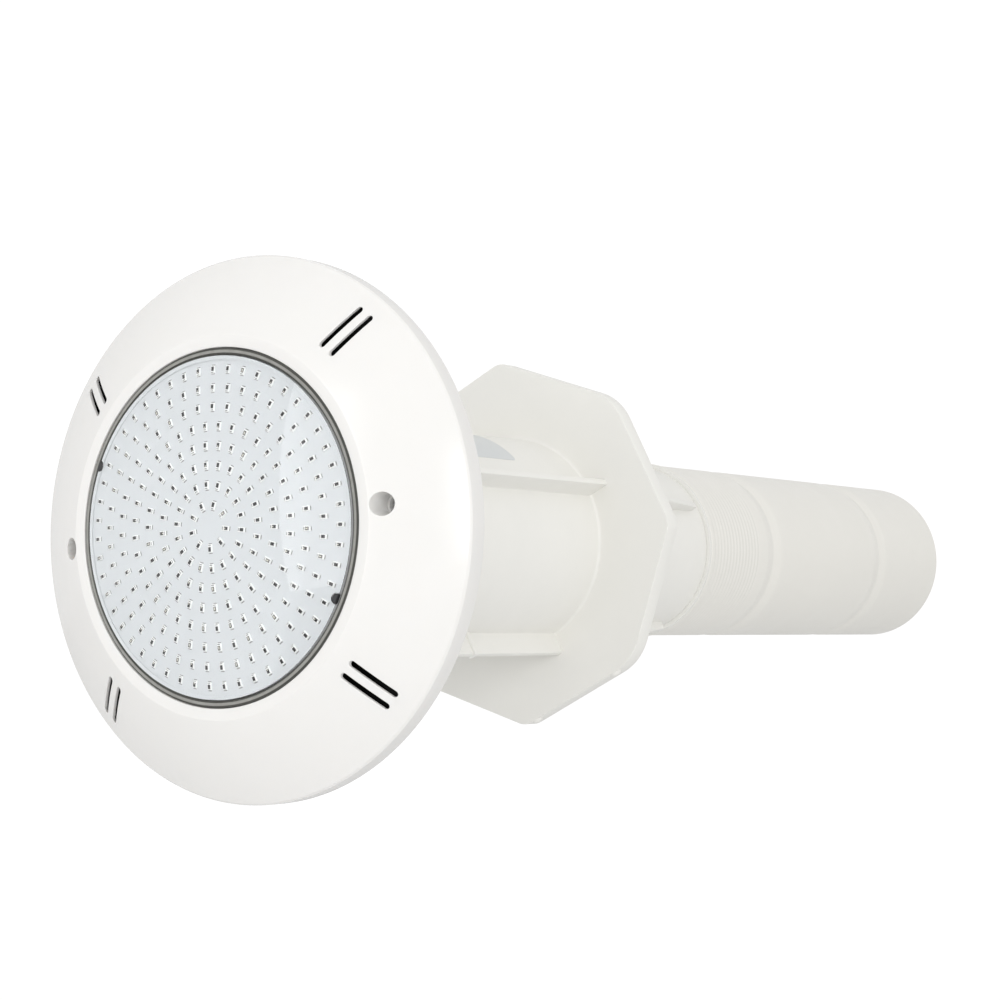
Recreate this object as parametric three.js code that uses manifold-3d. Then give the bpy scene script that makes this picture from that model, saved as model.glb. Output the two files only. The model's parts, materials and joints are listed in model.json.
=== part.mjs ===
// Underwater pool light with its wall niche, as an assembly of separate solids.
// Millimetres, +Z up. The lamp faces -Y, the niche runs back along +Y, and the origin is on the
// common axis in the plane of the niche's mouth. The finished pool wall, on which the faceplate's
// rim rests, is RIM_BACK_Y behind it.

import * as THREE from 'three';
import { mergeVertices } from 'three/addons/utils/BufferGeometryUtils.js';
import Module from 'manifold-3d';

const wasm = await Module();
wasm.setup();

// ---------------------------------------------------------------- driving dimensions
const GAP = 0.3;                  // clearance between neighbouring solids
const LARGE = 40;                 // facets round a large turned part
const MEDIUM = 16;                // facets round a gland or a boss
const SMALL = 12;                 // facets round a fastener

const FACE_Y = -24.5;             // front plane of the faceplate's flat bezel
const RIM_RADIUS = 115;           // outside of the faceplate
const RIM_EDGE_Y = -3.9;          // where the domed face meets the side wall
const RIM_BACK_Y = 4.2;           // back of the rim, on the face of the pool wall
const BEZEL_RADIUS = 79.4;        // outer edge of the flat bezel round the lens
const OPENING_RADIUS = 74.4;      // opening of the faceplate
const FACE_BULGE = 1.2;           // rise of the domed face over its chord
const WALL = 3;                   // wall thickness of the faceplate

const SCREW_CIRCLE = 84.4;        // fixing screws, one each side on the horizontal
const WELL_RADIUS = 4.9;          // wide front part of a screw well
const WELL_FLOOR_Y = -12.3;
const WELL_BORE = 3.65;           // narrow rear part, which takes the screw's head
const SEAT_Y = -5;                // seat of the screw's washer
const SCREW_RADIUS = 2;           // M4 fixing screws
const EAR_ANGLES = [60, 120, 240, 300];
const SLOT_PAIRS = [[47.4, 0.8], [136.9, -2], [222.6, 0.3], [313.8, -0.4]];   // angle, shift outward
const SLOT_INNER = 87.2;          // radial start of a flow slot
const SLOT_OUTER = 107.6;         // radial end of a flow slot
const SLOT_WIDTH = 2.7;
const SLOT_WALL = 1.4;            // the wall is thinner round the slots
const SLOT_OFFSET = 3.2;          // half the distance between the two slots of a pair

const LENS_RADIUS = 70.9;
const LENS_RIM_Y = -24.8;
const LENS_APEX_Y = -36;
const LENS_WALL = 1.3;
const GASKET_INNER = 71.3;
const GASKET_OUTER = 74.1;
const PLUG_ANGLES = { fill_plug_upper: 152, fill_plug_lower: -30 };

const BOARD_RADIUS = 69.4;
const LENS_BORE = BOARD_RADIUS + 0.4;
const RESIN_RADIUS = 66.6;        // clear potting between lens and board
const BOARD_FRONT_Y = -23.6;
const BOARD_THICKNESS = 1.6;

const HOUSING_RADIUS = 73.9;
const HOUSING_FRONT_Y = -17.4;
const FLOOR_Y = -5.5;             // back of the housing's floor
const BOSS_RADIUS = 24;
const BOSS_BACK_Y = 12;

const BARREL_RADIUS = 50;
const BARREL_BORE = 46.5;
const NICHE_FRONT_Y = 0;
const FLANGE_FRONT_Y = 192.3;
const FLANGE_THICKNESS = 9;
const FLANGE_APOTHEM = 82;        // half of the octagon's width across flats
const FIN_ANGLES = [22.5, 112.5, 202.5, 292.5];
const FIN_OUTER = 60.5;
const FIN_THICKNESS = 3;
const NECK_RADIUS = 43.4;
const NECK_BORE = 39.5;
const NECK_SHOULDER_Y = 306.6;
const NECK_END_Y = 366;

const TUBE_RADIUS = 45;
const TUBE_BORE = 42.6;
const TUBE_FRONT_Y = 308.5;
const TUBE_END_Y = 587;

// ---------------------------------------------------------------- materials
function material(color, roughness, metalness = 0, opacity = 1) {
  const transparent = opacity < 1;
  return new THREE.MeshStandardMaterial({ color, roughness, metalness, opacity, transparent });
}

const glossWhite = material(0xf4f3f0, 0.18);
const nicheWhite = material(0xe6e5df, 0.55);
const clear = material(0xe8eef2, 0.05, 0, 0.35);
const boardWhite = material(0xdde3ea, 0.45);
const darkRubber = material(0x55564f, 0.6);
const blackRubber = material(0x1d1e20, 0.7);
const paleRubber = material(0xdcdcd6, 0.6);
const steel = material(0xb9bcc0, 0.3, 1);
const brass = material(0xb9994f, 0.35, 1);
const pottingGrey = material(0x8f9296, 0.6);
const circuitGreen = material(0x1f5b3a, 0.5);
const wireRed = material(0xa3201c, 0.45);
const wireBlack = material(0x17181a, 0.45);
const glandGrey = material(0x3c3f43, 0.5);
const bracketBlack = material(0x17181a, 0.8);

// ---------------------------------------------------------------- solids
/** A closed three.js geometry as a solid that can be joined and cut. */
function solid(geometry) {
  const bare = geometry.clone();
  bare.deleteAttribute('normal');
  bare.deleteAttribute('uv');
  const merged = mergeVertices(bare, 1e-4);
  const corners = [];
  const index = merged.index.array;
  for (let i = 0; i < index.length; i += 3) {
    const [a, b, c] = [index[i], index[i + 1], index[i + 2]];
    if (a !== b && b !== c && c !== a) corners.push(a, b, c);
  }
  return new wasm.Manifold(new wasm.Mesh({
    numProp: 3,
    vertProperties: new Float32Array(merged.attributes.position.array),
    triVerts: new Uint32Array(corners),
  }));
}

/** The faces of a solid as a three.js geometry. */
function surface(shape) {
  const { vertProperties, triVerts } = shape.getMesh();
  const geometry = new THREE.BufferGeometry();
  geometry.setAttribute('position', new THREE.BufferAttribute(new Float32Array(vertProperties), 3));
  geometry.setIndex(new THREE.BufferAttribute(new Uint32Array(triVerts), 1));
  geometry.computeVertexNormals();
  return geometry;
}

const unite = (shapes) => shapes.reduce((sum, shape) => sum.add(shape));
const cut = (shape, cutters) => cutters.reduce((rest, cutter) => rest.subtract(cutter), shape);

/** A solid turned about the Y axis from a closed outline of [radius, y] points. */
function turned(outline, facets) {
  const points = outline.map(([radius, y]) => new THREE.Vector2(radius, y));
  if (THREE.ShapeUtils.area(points) < 0) points.reverse();
  points.push(points[0].clone());
  return solid(new THREE.LatheGeometry(points, facets));
}

/** A ring of rectangular section, or a disc when the inner radius is 0. */
function ring(inner, outer, y0, y1, facets) {
  return turned([[inner, y0], [outer, y0], [outer, y1], [inner, y1]], facets);
}

function rod(radius, y0, y1, facets, x = 0, z = 0) {
  return ring(0, radius, y0, y1, facets).translate([x, 0, z]);
}

function block(width, y0, y1, height, x = 0, z = 0) {
  const box = new THREE.BoxGeometry(width, y1 - y0, height);
  box.translate(x, (y0 + y1) / 2, z);
  return solid(box);
}

/** A hexagonal prism along Y, sized across its flats. */
function hexagon(acrossFlats, y0, y1) {
  const corner = acrossFlats / Math.sqrt(3);
  const prism = new THREE.CylinderGeometry(corner, corner, y1 - y0, 6);
  prism.translate(0, (y0 + y1) / 2, 0);
  return solid(prism);
}

/** A flat outline in the X-Z plane, swept from y0 to y1. */
function slab(shape, y0, y1, curveSegments = 4) {
  const swept = new THREE.ExtrudeGeometry(shape, { depth: y1 - y0, bevelEnabled: false, curveSegments });
  swept.rotateX(Math.PI / 2);
  swept.translate(0, y1, 0);
  return solid(swept);
}

/** Turns a solid about the Y axis, so that what lies on +X goes to the given angle towards +Z. */
const around = (shape, degrees) => shape.rotate([0, -degrees, 0]);

/** Points of a circular arc from one [radius, y] point to another, rising by bulge over the chord. */
function arc([r0, y0], [r1, y1], bulge, steps) {
  const chord = Math.hypot(r1 - r0, y1 - y0);
  const radius = (chord * chord / 4 + bulge * bulge) / (2 * bulge);
  const half = Math.asin(chord / 2 / radius);
  const [ux, uy] = [(r1 - r0) / chord, (y1 - y0) / chord];
  const points = [];
  for (let i = 0; i <= steps; i++) {
    const angle = half * (2 * i / steps - 1);
    const along = chord / 2 + radius * Math.sin(angle);
    const rise = radius * (Math.cos(angle) - Math.cos(half));
    points.push([r0 + ux * along + uy * rise, y0 + uy * along - ux * rise]);
  }
  return points;
}

/** Points of a dome about the Y axis, from the axis to the given radius. */
function dome(apexY, sphereRadius, radius, steps) {
  const points = [];
  for (let i = 0; i <= steps; i++) {
    const r = radius * i / steps;
    points.push([r, apexY + sphereRadius - Math.sqrt(sphereRadius * sphereRadius - r * r)]);
  }
  return points;
}

// ---------------------------------------------------------------- the assembly
const light = new THREE.Group();
light.name = 'underwater_pool_light';

function add(name, shape, look) {
  const mesh = new THREE.Mesh(surface(shape), look);
  mesh.name = name;
  light.add(mesh);
}

// ---------------------------------------------------------------- faceplate
const faceArc = (inset, steps) => arc(
  [BEZEL_RADIUS - inset / 4, FACE_Y + inset],
  [RIM_RADIUS - 0.7 - inset, RIM_EDGE_Y - 1 + inset / 2],
  FACE_BULGE - inset / 10,
  steps,
);

const COLLAR_BACK_Y = -14;        // back of the collar round the lens
const PILLAR_RADIUS = 6.5;        // pillar round a screw well
const PILLAR_BACK_Y = -0.6;
const POST_RADIUS = 4.5;          // post that takes a housing screw
const POST_BACK_Y = -9.3;
const POST_HOLE = { radius: 1.9, front: -19 };
const FRONT_OF_ALL = -30;         // cutters start here, in front of the faceplate

function makeFaceplate() {
  const outside = [
    [OPENING_RADIUS, FACE_Y], ...faceArc(0, 7), [RIM_RADIUS, RIM_EDGE_Y], [RIM_RADIUS, RIM_BACK_Y],
  ];
  const inside = [[RIM_RADIUS - WALL, RIM_BACK_Y], ...faceArc(WALL, 5).reverse()];
  const collar = [[OPENING_RADIUS + WALL, FACE_Y + WALL], [OPENING_RADIUS + WALL, COLLAR_BACK_Y]];
  const shell = turned([...outside, ...inside, ...collar, [OPENING_RADIUS, COLLAR_BACK_Y]], LARGE);
  const envelope = turned([...outside, [OPENING_RADIUS, RIM_BACK_Y]], LARGE);

  const pillars = [];
  const holes = [];
  for (const side of [1, -1]) {
    const x = side * SCREW_CIRCLE;
    pillars.push(rod(PILLAR_RADIUS, FACE_Y, PILLAR_BACK_Y, MEDIUM, x));
    holes.push(rod(WELL_RADIUS, FRONT_OF_ALL, WELL_FLOOR_Y, MEDIUM, x));
    holes.push(rod(WELL_BORE, WELL_FLOOR_Y - 1, SEAT_Y, MEDIUM, x));
    holes.push(rod(SCREW_RADIUS + GAP, SEAT_Y - 1, PILLAR_BACK_Y + 1, SMALL, x));
  }
  for (const angle of EAR_ANGLES) {
    const { radius, front } = POST_HOLE;
    pillars.push(around(rod(POST_RADIUS, FACE_Y, POST_BACK_Y, SMALL, SCREW_CIRCLE), angle));
    holes.push(around(rod(radius, front, POST_BACK_Y + 1, SMALL, SCREW_CIRCLE), angle));
  }
  const behind = turned([...faceArc(SLOT_WALL, 6), ...faceArc(WALL + 1, 6).reverse()], LARGE);
  const [middle, length] = [(SLOT_OUTER + SLOT_INNER) / 2, SLOT_OUTER - SLOT_INNER + 4];
  const width = 2 * SLOT_OFFSET + SLOT_WIDTH + 3.6;
  for (const [angle, shift] of SLOT_PAIRS) {
    const thinned = around(block(length, FRONT_OF_ALL, PILLAR_BACK_Y, width, middle + shift), angle);
    holes.push(thinned.intersect(behind));
    for (const side of [1, -1]) {
      holes.push(around(slot().translate([shift, 0, side * SLOT_OFFSET]), angle));
    }
  }
  const posts = unite(pillars).intersect(envelope);
  return cut(shell.add(posts), holes);
}

function slot() {
  const round = SLOT_WIDTH / 2;
  const shape = new THREE.Shape();
  shape.absarc(SLOT_OUTER - round, 0, round, -Math.PI / 2, Math.PI / 2, false);
  shape.absarc(SLOT_INNER + round, 0, round, Math.PI / 2, 3 * Math.PI / 2, false);
  return slab(shape, FRONT_OF_ALL, PILLAR_BACK_Y, 4);
}

// ---------------------------------------------------------------- lens, gasket and clear potting
const LENS_RISE = LENS_RIM_Y - LENS_APEX_Y;
const SPHERE = (LENS_RADIUS ** 2 + LENS_RISE ** 2) / (2 * LENS_RISE);
const LENS_FOOT_Y = -19.7;
const LENS_BACK_Y = -17.7;
const PLUG_RADIUS = 2.1;
const PLUG_FRONT_Y = -25.7;

const plugPlace = (shape, angle) => around(shape.translate([LENS_RADIUS - 0.3, 0, 0]), angle);

function makeLens() {
  const inner = dome(LENS_APEX_Y + LENS_WALL, SPHERE - LENS_WALL, LENS_BORE, 7).reverse();
  const outline = [
    ...dome(LENS_APEX_Y, SPHERE, LENS_RADIUS, 7),
    [LENS_RADIUS, LENS_FOOT_Y], [HOUSING_RADIUS, LENS_FOOT_Y],
    [HOUSING_RADIUS, LENS_BACK_Y], [LENS_BORE, LENS_BACK_Y],
    ...inner,
  ];
  const notch = () => rod(PLUG_RADIUS + GAP, FRONT_OF_ALL, BOARD_FRONT_Y, SMALL);
  const notches = Object.values(PLUG_ANGLES).map((angle) => plugPlace(notch(), angle));
  return cut(turned(outline, LARGE), notches);
}

function makeFillPlug(angle) {
  const plug = plugPlace(rod(PLUG_RADIUS, PLUG_FRONT_Y, BOARD_FRONT_Y - GAP, SMALL), angle);
  return plug.intersect(rod(GASKET_INNER - GAP, FRONT_OF_ALL, 0, LARGE));
}

function makeGasket() {
  const groove = 0.35;
  const width = (GASKET_OUTER - GASKET_INNER) / 4;
  const lips = [0, 1, 2, 3, 4].map((i) => [GASKET_INNER + i * width, FACE_Y + (i % 2 ? 0 : groove)]);
  return turned([...lips, [GASKET_OUTER, LENS_FOOT_Y - GAP], [GASKET_INNER, LENS_FOOT_Y - GAP]], LARGE);
}

function makeFrontResin() {
  const wall = LENS_WALL + GAP;
  const crown = dome(LENS_APEX_Y + wall, SPHERE - wall, RESIN_RADIUS, 7);
  const back = BOARD_FRONT_Y - GAP;
  return turned([...crown, [RESIN_RADIUS, back], [0, back]], LARGE);
}

// ---------------------------------------------------------------- lamp body
const LEAD_X = 14;                // the two leads pass through the potting here
const LEAD_RADIUS = 0.9;
const DRIVER_Y = 2;               // front of the driver's circuit board
const DRIVER_RADIUS = 19.4;
const DRIVER_THICKNESS = 1.6;
const HOUSING_WALL = 3.4;
const EAR_RADIUS = 5;             // ears of the housing, screwed to the faceplate's posts
const EAR_FRONT_Y = -8.8;
const BOSS_BORE = 8.2;            // hole for the cable gland
const BOSS_WALL = 4;
const RIB_BACK_Y = -1.5;          // stiffening ribs on the back of the housing
const RIB_THICKNESS = 2;

function makePotting() {
  const back = FLOOR_Y - WALL - GAP;
  const front = BOARD_FRONT_Y + BOARD_THICKNESS + GAP;
  const step = HOUSING_FRONT_Y + 0.2;
  const inner = HOUSING_RADIUS - HOUSING_WALL - 0.4;
  const outline = [
    [0, front], [BOARD_RADIUS, front], [BOARD_RADIUS, step], [inner, step], [inner, back], [0, back],
  ];
  const ways = [1, -1].map((side) => rod(LEAD_RADIUS + GAP, FRONT_OF_ALL, 0, SMALL, side * LEAD_X));
  return cut(turned(outline, LARGE), ways);
}

function makeLead(side) {
  const front = BOARD_FRONT_Y + BOARD_THICKNESS + GAP;
  return rod(LEAD_RADIUS, front, DRIVER_Y - GAP, SMALL, side * LEAD_X);
}

function makeDriver() {
  const foot = DRIVER_Y + 0.5;      // the components sink this far into the board
  const base = rod(DRIVER_RADIUS, DRIVER_Y, DRIVER_Y + DRIVER_THICKNESS, MEDIUM);
  const capacitor = rod(4, DRIVER_Y - 9, foot, SMALL, 0, 10);
  const inductor = ring(2.2, 5, DRIVER_Y - 5, foot, SMALL).translate([-1, 0, -10]);
  const rectifier = block(9, DRIVER_Y - 3, foot, 7, 5, 0);
  const regulator = block(6, DRIVER_Y - 2, foot, 5, -6, 1);
  return unite([base, capacitor, inductor, rectifier, regulator]);
}

function makeHousing() {
  const inner = HOUSING_RADIUS - HOUSING_WALL;
  const hollow = BOSS_RADIUS - BOSS_WALL;
  const outline = [
    [inner, HOUSING_FRONT_Y], [HOUSING_RADIUS, HOUSING_FRONT_Y], [HOUSING_RADIUS, FLOOR_Y],
    [BOSS_RADIUS, FLOOR_Y], [BOSS_RADIUS, BOSS_BACK_Y], [BOSS_BORE, BOSS_BACK_Y],
    [BOSS_BORE, BOSS_BACK_Y - BOSS_WALL], [hollow, BOSS_BACK_Y - BOSS_WALL],
    [hollow, FLOOR_Y - WALL], [inner, FLOOR_Y - WALL],
  ];
  const ears = EAR_ANGLES.map((angle) => around(ear(), angle));
  const clearance = () => rod(SCREW_RADIUS + 0.1, EAR_FRONT_Y - 1, FLOOR_Y + 1, SMALL, SCREW_CIRCLE);
  const holes = EAR_ANGLES.map((angle) => around(clearance(), angle));
  const [ribLength, ribMiddle] = [HOUSING_RADIUS - BOSS_RADIUS, (HOUSING_RADIUS + BOSS_RADIUS) / 2 - 1];
  const ribs = [30, 90, 150, 210, 270, 330].map((angle) => around(
    block(ribLength, FLOOR_Y - 0.5, RIB_BACK_Y, RIB_THICKNESS, ribMiddle),
    angle,
  ));
  return cut(unite([turned(outline, LARGE), ...ears, ...ribs]), holes);
}

function ear() {
  const [length, middle] = [SCREW_CIRCLE - HOUSING_RADIUS + 2, (SCREW_CIRCLE + HOUSING_RADIUS) / 2 - 1];
  const arm = block(length, EAR_FRONT_Y, FLOOR_Y, 2 * EAR_RADIUS, middle);
  return arm.add(rod(EAR_RADIUS, EAR_FRONT_Y, FLOOR_Y, SMALL, SCREW_CIRCLE));
}

/** Self-tapping screw that holds the housing to a post of the faceplate. Its head faces +Y. */
function makeHousingScrew(angle) {
  const [front, radius, crossWidth, crossLength] = [FLOOR_Y + GAP, 1.5, 0.9, 3.6];
  const head = turned([[0, front], [3.4, front], [3.2, -3.4], [2, -2.6], [0, -2.4]], SMALL);
  const shank = turned([[0, -16], [radius, -14], [radius, front + 0.7], [0, front + 0.7]], SMALL);
  const recess = [block(crossLength, -4, 0, crossWidth), block(crossWidth, -4, 0, crossLength)];
  return around(cut(head.add(shank), recess).translate([SCREW_CIRCLE, 0, 0]), angle);
}

// ---------------------------------------------------------------- fixing screws
const WASHER_FRONT_Y = SEAT_Y - GAP - 0.8;
const HEAD_BACK_Y = WASHER_FRONT_Y - GAP;
const HEAD_RADIUS = 3.5;
const HEAD_FRONT_Y = HEAD_BACK_Y - 4;
const SOCKET_FLATS = 3;
const SOCKET_DEPTH = 2;
const SCREW_END_Y = 11.4;

/** M4 cap screw with its hexagon socket facing -Y. */
function makeFixingScrew(side) {
  const body = turned([
    [0, HEAD_FRONT_Y], [HEAD_RADIUS - 0.4, HEAD_FRONT_Y], [HEAD_RADIUS, HEAD_FRONT_Y + 0.4],
    [HEAD_RADIUS, HEAD_BACK_Y], [SCREW_RADIUS, HEAD_BACK_Y], [SCREW_RADIUS, SCREW_END_Y - 0.6],
    [SCREW_RADIUS - 0.6, SCREW_END_Y], [0, SCREW_END_Y],
  ], SMALL);
  const socket = hexagon(SOCKET_FLATS, HEAD_FRONT_Y - 1, HEAD_FRONT_Y + SOCKET_DEPTH);
  return cut(body, [socket]).translate([side * SCREW_CIRCLE, 0, 0]);
}

function makeScrewWasher(side) {
  const washer = ring(SCREW_RADIUS + GAP, HEAD_RADIUS - 0.1, WASHER_FRONT_Y, SEAT_Y - GAP, SMALL);
  return washer.translate([side * SCREW_CIRCLE, 0, 0]);
}

// ---------------------------------------------------------------- cable glands
const GLAND_WASHER = { thickness: 1.5, rim: 2.8 };
const GLAND_WALL = 1.2;           // wall of the gland's seat, and of the body round the cable way
const NOSE_LENGTH = 2.4;          // how far the grommet stands out of the body
const SLIP_RING_THICKNESS = 0.8;
const NUT_CROWN = 2.6;            // thickness of the nut's crown

/**
 * One gland along +Y through a wall whose back face is at wallY. All sizes follow the
 * thread's radius; the grommet leaves a round way for the cable.
 */
function glandSizes(wallY, thread, way) {
  const washerBack = wallY + GAP + GLAND_WASHER.thickness;
  const hexFront = washerBack + GAP;
  const hexBack = hexFront + 0.32 * thread + 2;
  const neckEnd = hexBack + 0.45 * thread + 4.5;
  const noseEnd = neckEnd + NOSE_LENGTH;
  return {
    wallY, thread, way, washerBack, hexFront, hexBack, neckEnd, noseEnd,
    neck: thread + 0.6, seat: thread - GLAND_WALL, flats: 2 * thread + 6,
  };
}

function makeGlandWasher(g) {
  return ring(g.thread + GAP, g.thread + GLAND_WASHER.rim, g.wallY + GAP, g.washerBack, MEDIUM);
}

function makeGlandBody(g, stubFront) {
  const stub = rod(g.thread, stubFront, g.hexFront + 1, MEDIUM);
  const neck = rod(g.neck, g.hexBack - 1, g.neckEnd, MEDIUM);
  const bore = rod(g.way + GLAND_WALL, stubFront - 1, g.neckEnd + 1, MEDIUM);
  const seat = rod(g.seat, g.hexBack, g.neckEnd + 1, MEDIUM);
  return cut(unite([stub, hexagon(g.flats, g.hexFront, g.hexBack), neck]), [bore, seat]);
}

/** Rubber grommet: a sleeve in the gland's seat with a tapered nose that the nut closes on. */
function makeGlandGrommet(g) {
  const outer = g.seat - GAP;
  return turned([
    [g.way, g.hexBack + GAP], [outer, g.hexBack + GAP], [outer, g.neckEnd],
    [g.way + 1.3, g.noseEnd], [g.way, g.noseEnd],
  ], MEDIUM);
}

/** Thin slip ring between the grommet's nose and the nut, which keeps the nut from twisting it. */
function makeGlandSlipRing(g) {
  const front = g.noseEnd + GAP;
  return ring(g.way + 0.2, g.way + 2, front, front + SLIP_RING_THICKNESS, MEDIUM);
}

function makeGlandNut(g) {
  const front = g.hexBack + 1.2;
  const inside = g.noseEnd + GAP + SLIP_RING_THICKNESS + GAP;
  const end = inside + NUT_CROWN;
  const shoulder = g.neckEnd + 1;
  const skirt = hexagon(g.flats - 1.6, front, shoulder);
  const crown = turned([
    [0, front + 1], [g.thread + 2, front + 1], [g.thread + 2, shoulder], [g.way + 3, end], [0, end],
  ], MEDIUM);
  const thread = rod(g.neck + GAP, front - 1, g.neckEnd + GAP, MEDIUM);
  const chamber = turned([
    [0, g.neckEnd], [g.thread - 0.6, g.neckEnd], [g.way + 2.4, inside], [0, inside],
  ], MEDIUM);
  return cut(skirt.add(crown), [thread, chamber, rod(g.way + 0.2, front, end + 1, MEDIUM)]);
}

const lampGland = glandSizes(BOSS_BACK_Y, 7.9, 3.9);
const CAP_BACK_Y = 584;
const conduitGland = glandSizes(CAP_BACK_Y, 12, 7);

// ---------------------------------------------------------------- wall niche
const INSERT_RADIUS = 4;
const INSERT_END_Y = 13.6;
const PLATE_RADIUS = 111;         // bracket plate, which closes the faceplate's hollow from behind
const PLATE_BACK_Y = NICHE_FRONT_Y + 2.4;
const UPSTAND_FRONT_Y = -2.6;     // thin upstand round the plate's edge, just inside the rim
const UPSTAND_WALL = 1.6;
const LIP_RADIUS = 95;            // stiffening lip on the back of the bracket plate
const LIP_BACK_Y = 10;
const HUB_BACK_Y = 16;
const BRACKET_WALL = 3;

function makeBracket() {
  const hub = BARREL_RADIUS + GAP;
  const upstand = PLATE_RADIUS - UPSTAND_WALL;
  const outline = [
    [hub, NICHE_FRONT_Y], [upstand, NICHE_FRONT_Y], [upstand, UPSTAND_FRONT_Y],
    [PLATE_RADIUS, UPSTAND_FRONT_Y], [PLATE_RADIUS, PLATE_BACK_Y],
    [LIP_RADIUS, PLATE_BACK_Y], [LIP_RADIUS, LIP_BACK_Y], [LIP_RADIUS - BRACKET_WALL, LIP_BACK_Y],
    [LIP_RADIUS - BRACKET_WALL, PLATE_BACK_Y], [hub + BRACKET_WALL, PLATE_BACK_Y],
    [hub + BRACKET_WALL, HUB_BACK_Y], [hub, HUB_BACK_Y],
  ];
  const post = { radius: 7.5, back: HUB_BACK_Y + 0.6 };
  const posts = [1, -1].map((side) => (
    rod(post.radius, NICHE_FRONT_Y, post.back, MEDIUM, side * SCREW_CIRCLE)
  ));
  const [ribInner, ribOuter] = [hub + 1, LIP_RADIUS - 1];
  const ribs = [45, 90, 135, 225, 270, 315].map((angle) => around(
    block(ribOuter - ribInner, PLATE_BACK_Y - 1, LIP_BACK_Y - 1, BRACKET_WALL, (ribInner + ribOuter) / 2),
    angle,
  ));
  const bores = [1, -1].map((side) => (
    rod(INSERT_RADIUS + GAP, NICHE_FRONT_Y - 1, INSERT_END_Y + 0.4, SMALL, side * SCREW_CIRCLE)
  ));
  return cut(unite([turned(outline, LARGE), ...posts, ...ribs]), bores);
}

/** Brass M4 insert of the bracket, with two retaining grooves. */
function makeInsert(side) {
  const groove = INSERT_RADIUS - 0.6;
  const bore = SCREW_RADIUS + GAP;
  const outline = [
    [bore, NICHE_FRONT_Y], [INSERT_RADIUS, NICHE_FRONT_Y], [INSERT_RADIUS, 4.5],
    [groove, 4.9], [groove, 5.9], [INSERT_RADIUS, 6.3], [INSERT_RADIUS, 8.7],
    [groove, 9.1], [groove, 10.1], [INSERT_RADIUS, 10.5], [INSERT_RADIUS, INSERT_END_Y],
    [bore, INSERT_END_Y],
  ];
  return turned(outline, SMALL).translate([side * SCREW_CIRCLE, 0, 0]);
}

const CORNER_TRIM = [7, 11];      // how far the flange's corners are rounded: axis, diagonal

/** Octagon with a corner on each of the X and Z axes; the diagonal corners are rounder. */
function octagon(apothem) {
  const corner = apothem / Math.cos(Math.PI / 8);
  const shape = new THREE.Shape();
  for (let i = 0; i < 8; i++) {
    const angle = i * Math.PI / 4;
    const trim = CORNER_TRIM[i % 2];
    const tip = new THREE.Vector2(corner * Math.cos(angle), corner * Math.sin(angle));
    const ends = [-1, 1].map((way) => new THREE.Vector2(
      corner * Math.cos(angle + way * Math.PI / 4),
      corner * Math.sin(angle + way * Math.PI / 4),
    ).sub(tip).setLength(trim).add(tip));
    if (i === 0) shape.moveTo(ends[0].x, ends[0].y);
    else shape.lineTo(ends[0].x, ends[0].y);
    shape.quadraticCurveTo(tip.x, tip.y, ends[1].x, ends[1].y);
  }
  shape.closePath();
  return shape;
}

const SPIGOT_RADIUS = TUBE_BORE - 0.5;              // end of the neck, inside the extension tube
const GROOVE = { radius: TUBE_BORE - 1.6, front: 358, back: 361 };   // for the neck seal

function makeNiche() {
  const flangeBack = FLANGE_FRONT_Y + FLANGE_THICKNESS;
  const barrel = rod(BARREL_RADIUS, NICHE_FRONT_Y, FLANGE_FRONT_Y + 1, LARGE);
  const flange = slab(octagon(FLANGE_APOTHEM), FLANGE_FRONT_Y, flangeBack, 3);
  const neck = turned([
    [0, flangeBack - 1], [NECK_RADIUS, flangeBack - 1], [NECK_RADIUS, NECK_SHOULDER_Y],
    [SPIGOT_RADIUS, NECK_SHOULDER_Y], [SPIGOT_RADIUS, GROOVE.front], [GROOVE.radius, GROOVE.front],
    [GROOVE.radius, GROOVE.back], [SPIGOT_RADIUS, GROOVE.back], [SPIGOT_RADIUS, NECK_END_Y],
    [0, NECK_END_Y],
  ], LARGE);
  const [finInner, finFront] = [BARREL_RADIUS - 2, HUB_BACK_Y + GAP];
  const fins = FIN_ANGLES.map((angle) => around(
    block(FIN_OUTER - finInner, finFront, FLANGE_FRONT_Y + 1, FIN_THICKNESS, (FIN_OUTER + finInner) / 2),
    angle,
  ));
  const gussets = FIN_ANGLES.map((angle) => around(gusset(flangeBack), angle));
  const bore = turned([
    [0, -1], [BARREL_BORE, -1], [BARREL_BORE, FLANGE_FRONT_Y], [NECK_BORE, FLANGE_FRONT_Y + 6],
    [NECK_BORE, NECK_END_Y + 1], [0, NECK_END_Y + 1],
  ], LARGE);
  return cut(unite([barrel, flange, neck, ...fins, ...gussets]), [bore]);
}

/** Tapered rib behind the flange, deepest at the flange and blunt at its far end. */
function gusset(flangeBack) {
  const [root, deep, tip, length] = [NECK_RADIUS - 1.5, 56, 46.2, 92];
  const profile = new THREE.Shape();
  profile.moveTo(root, -1);
  profile.lineTo(deep, -1);
  profile.lineTo(tip, length);
  profile.lineTo(root, length);
  profile.closePath();
  const plate = new THREE.ExtrudeGeometry(profile, { depth: FIN_THICKNESS, bevelEnabled: false });
  plate.translate(0, flangeBack, -FIN_THICKNESS / 2);
  return solid(plate);
}

function makeNeckSeal() {
  const [inner, shoulder, outer] = [GROOVE.radius + 0.15, TUBE_BORE - 0.42, TUBE_BORE - 0.12];
  const [front, back] = [GROOVE.front + 0.4, GROOVE.back - 0.4];
  return turned([
    [inner, front + 0.2], [shoulder, front], [outer, (front + back) / 2], [shoulder, back],
    [inner, back - 0.2],
  ], LARGE);
}

function makeTubeSeal() {
  const [inner, outer] = [TUBE_BORE + 0.1, TUBE_RADIUS + 0.4];
  return ring(inner, outer, NECK_SHOULDER_Y + GAP, TUBE_FRONT_Y - GAP, LARGE);
}

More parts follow.
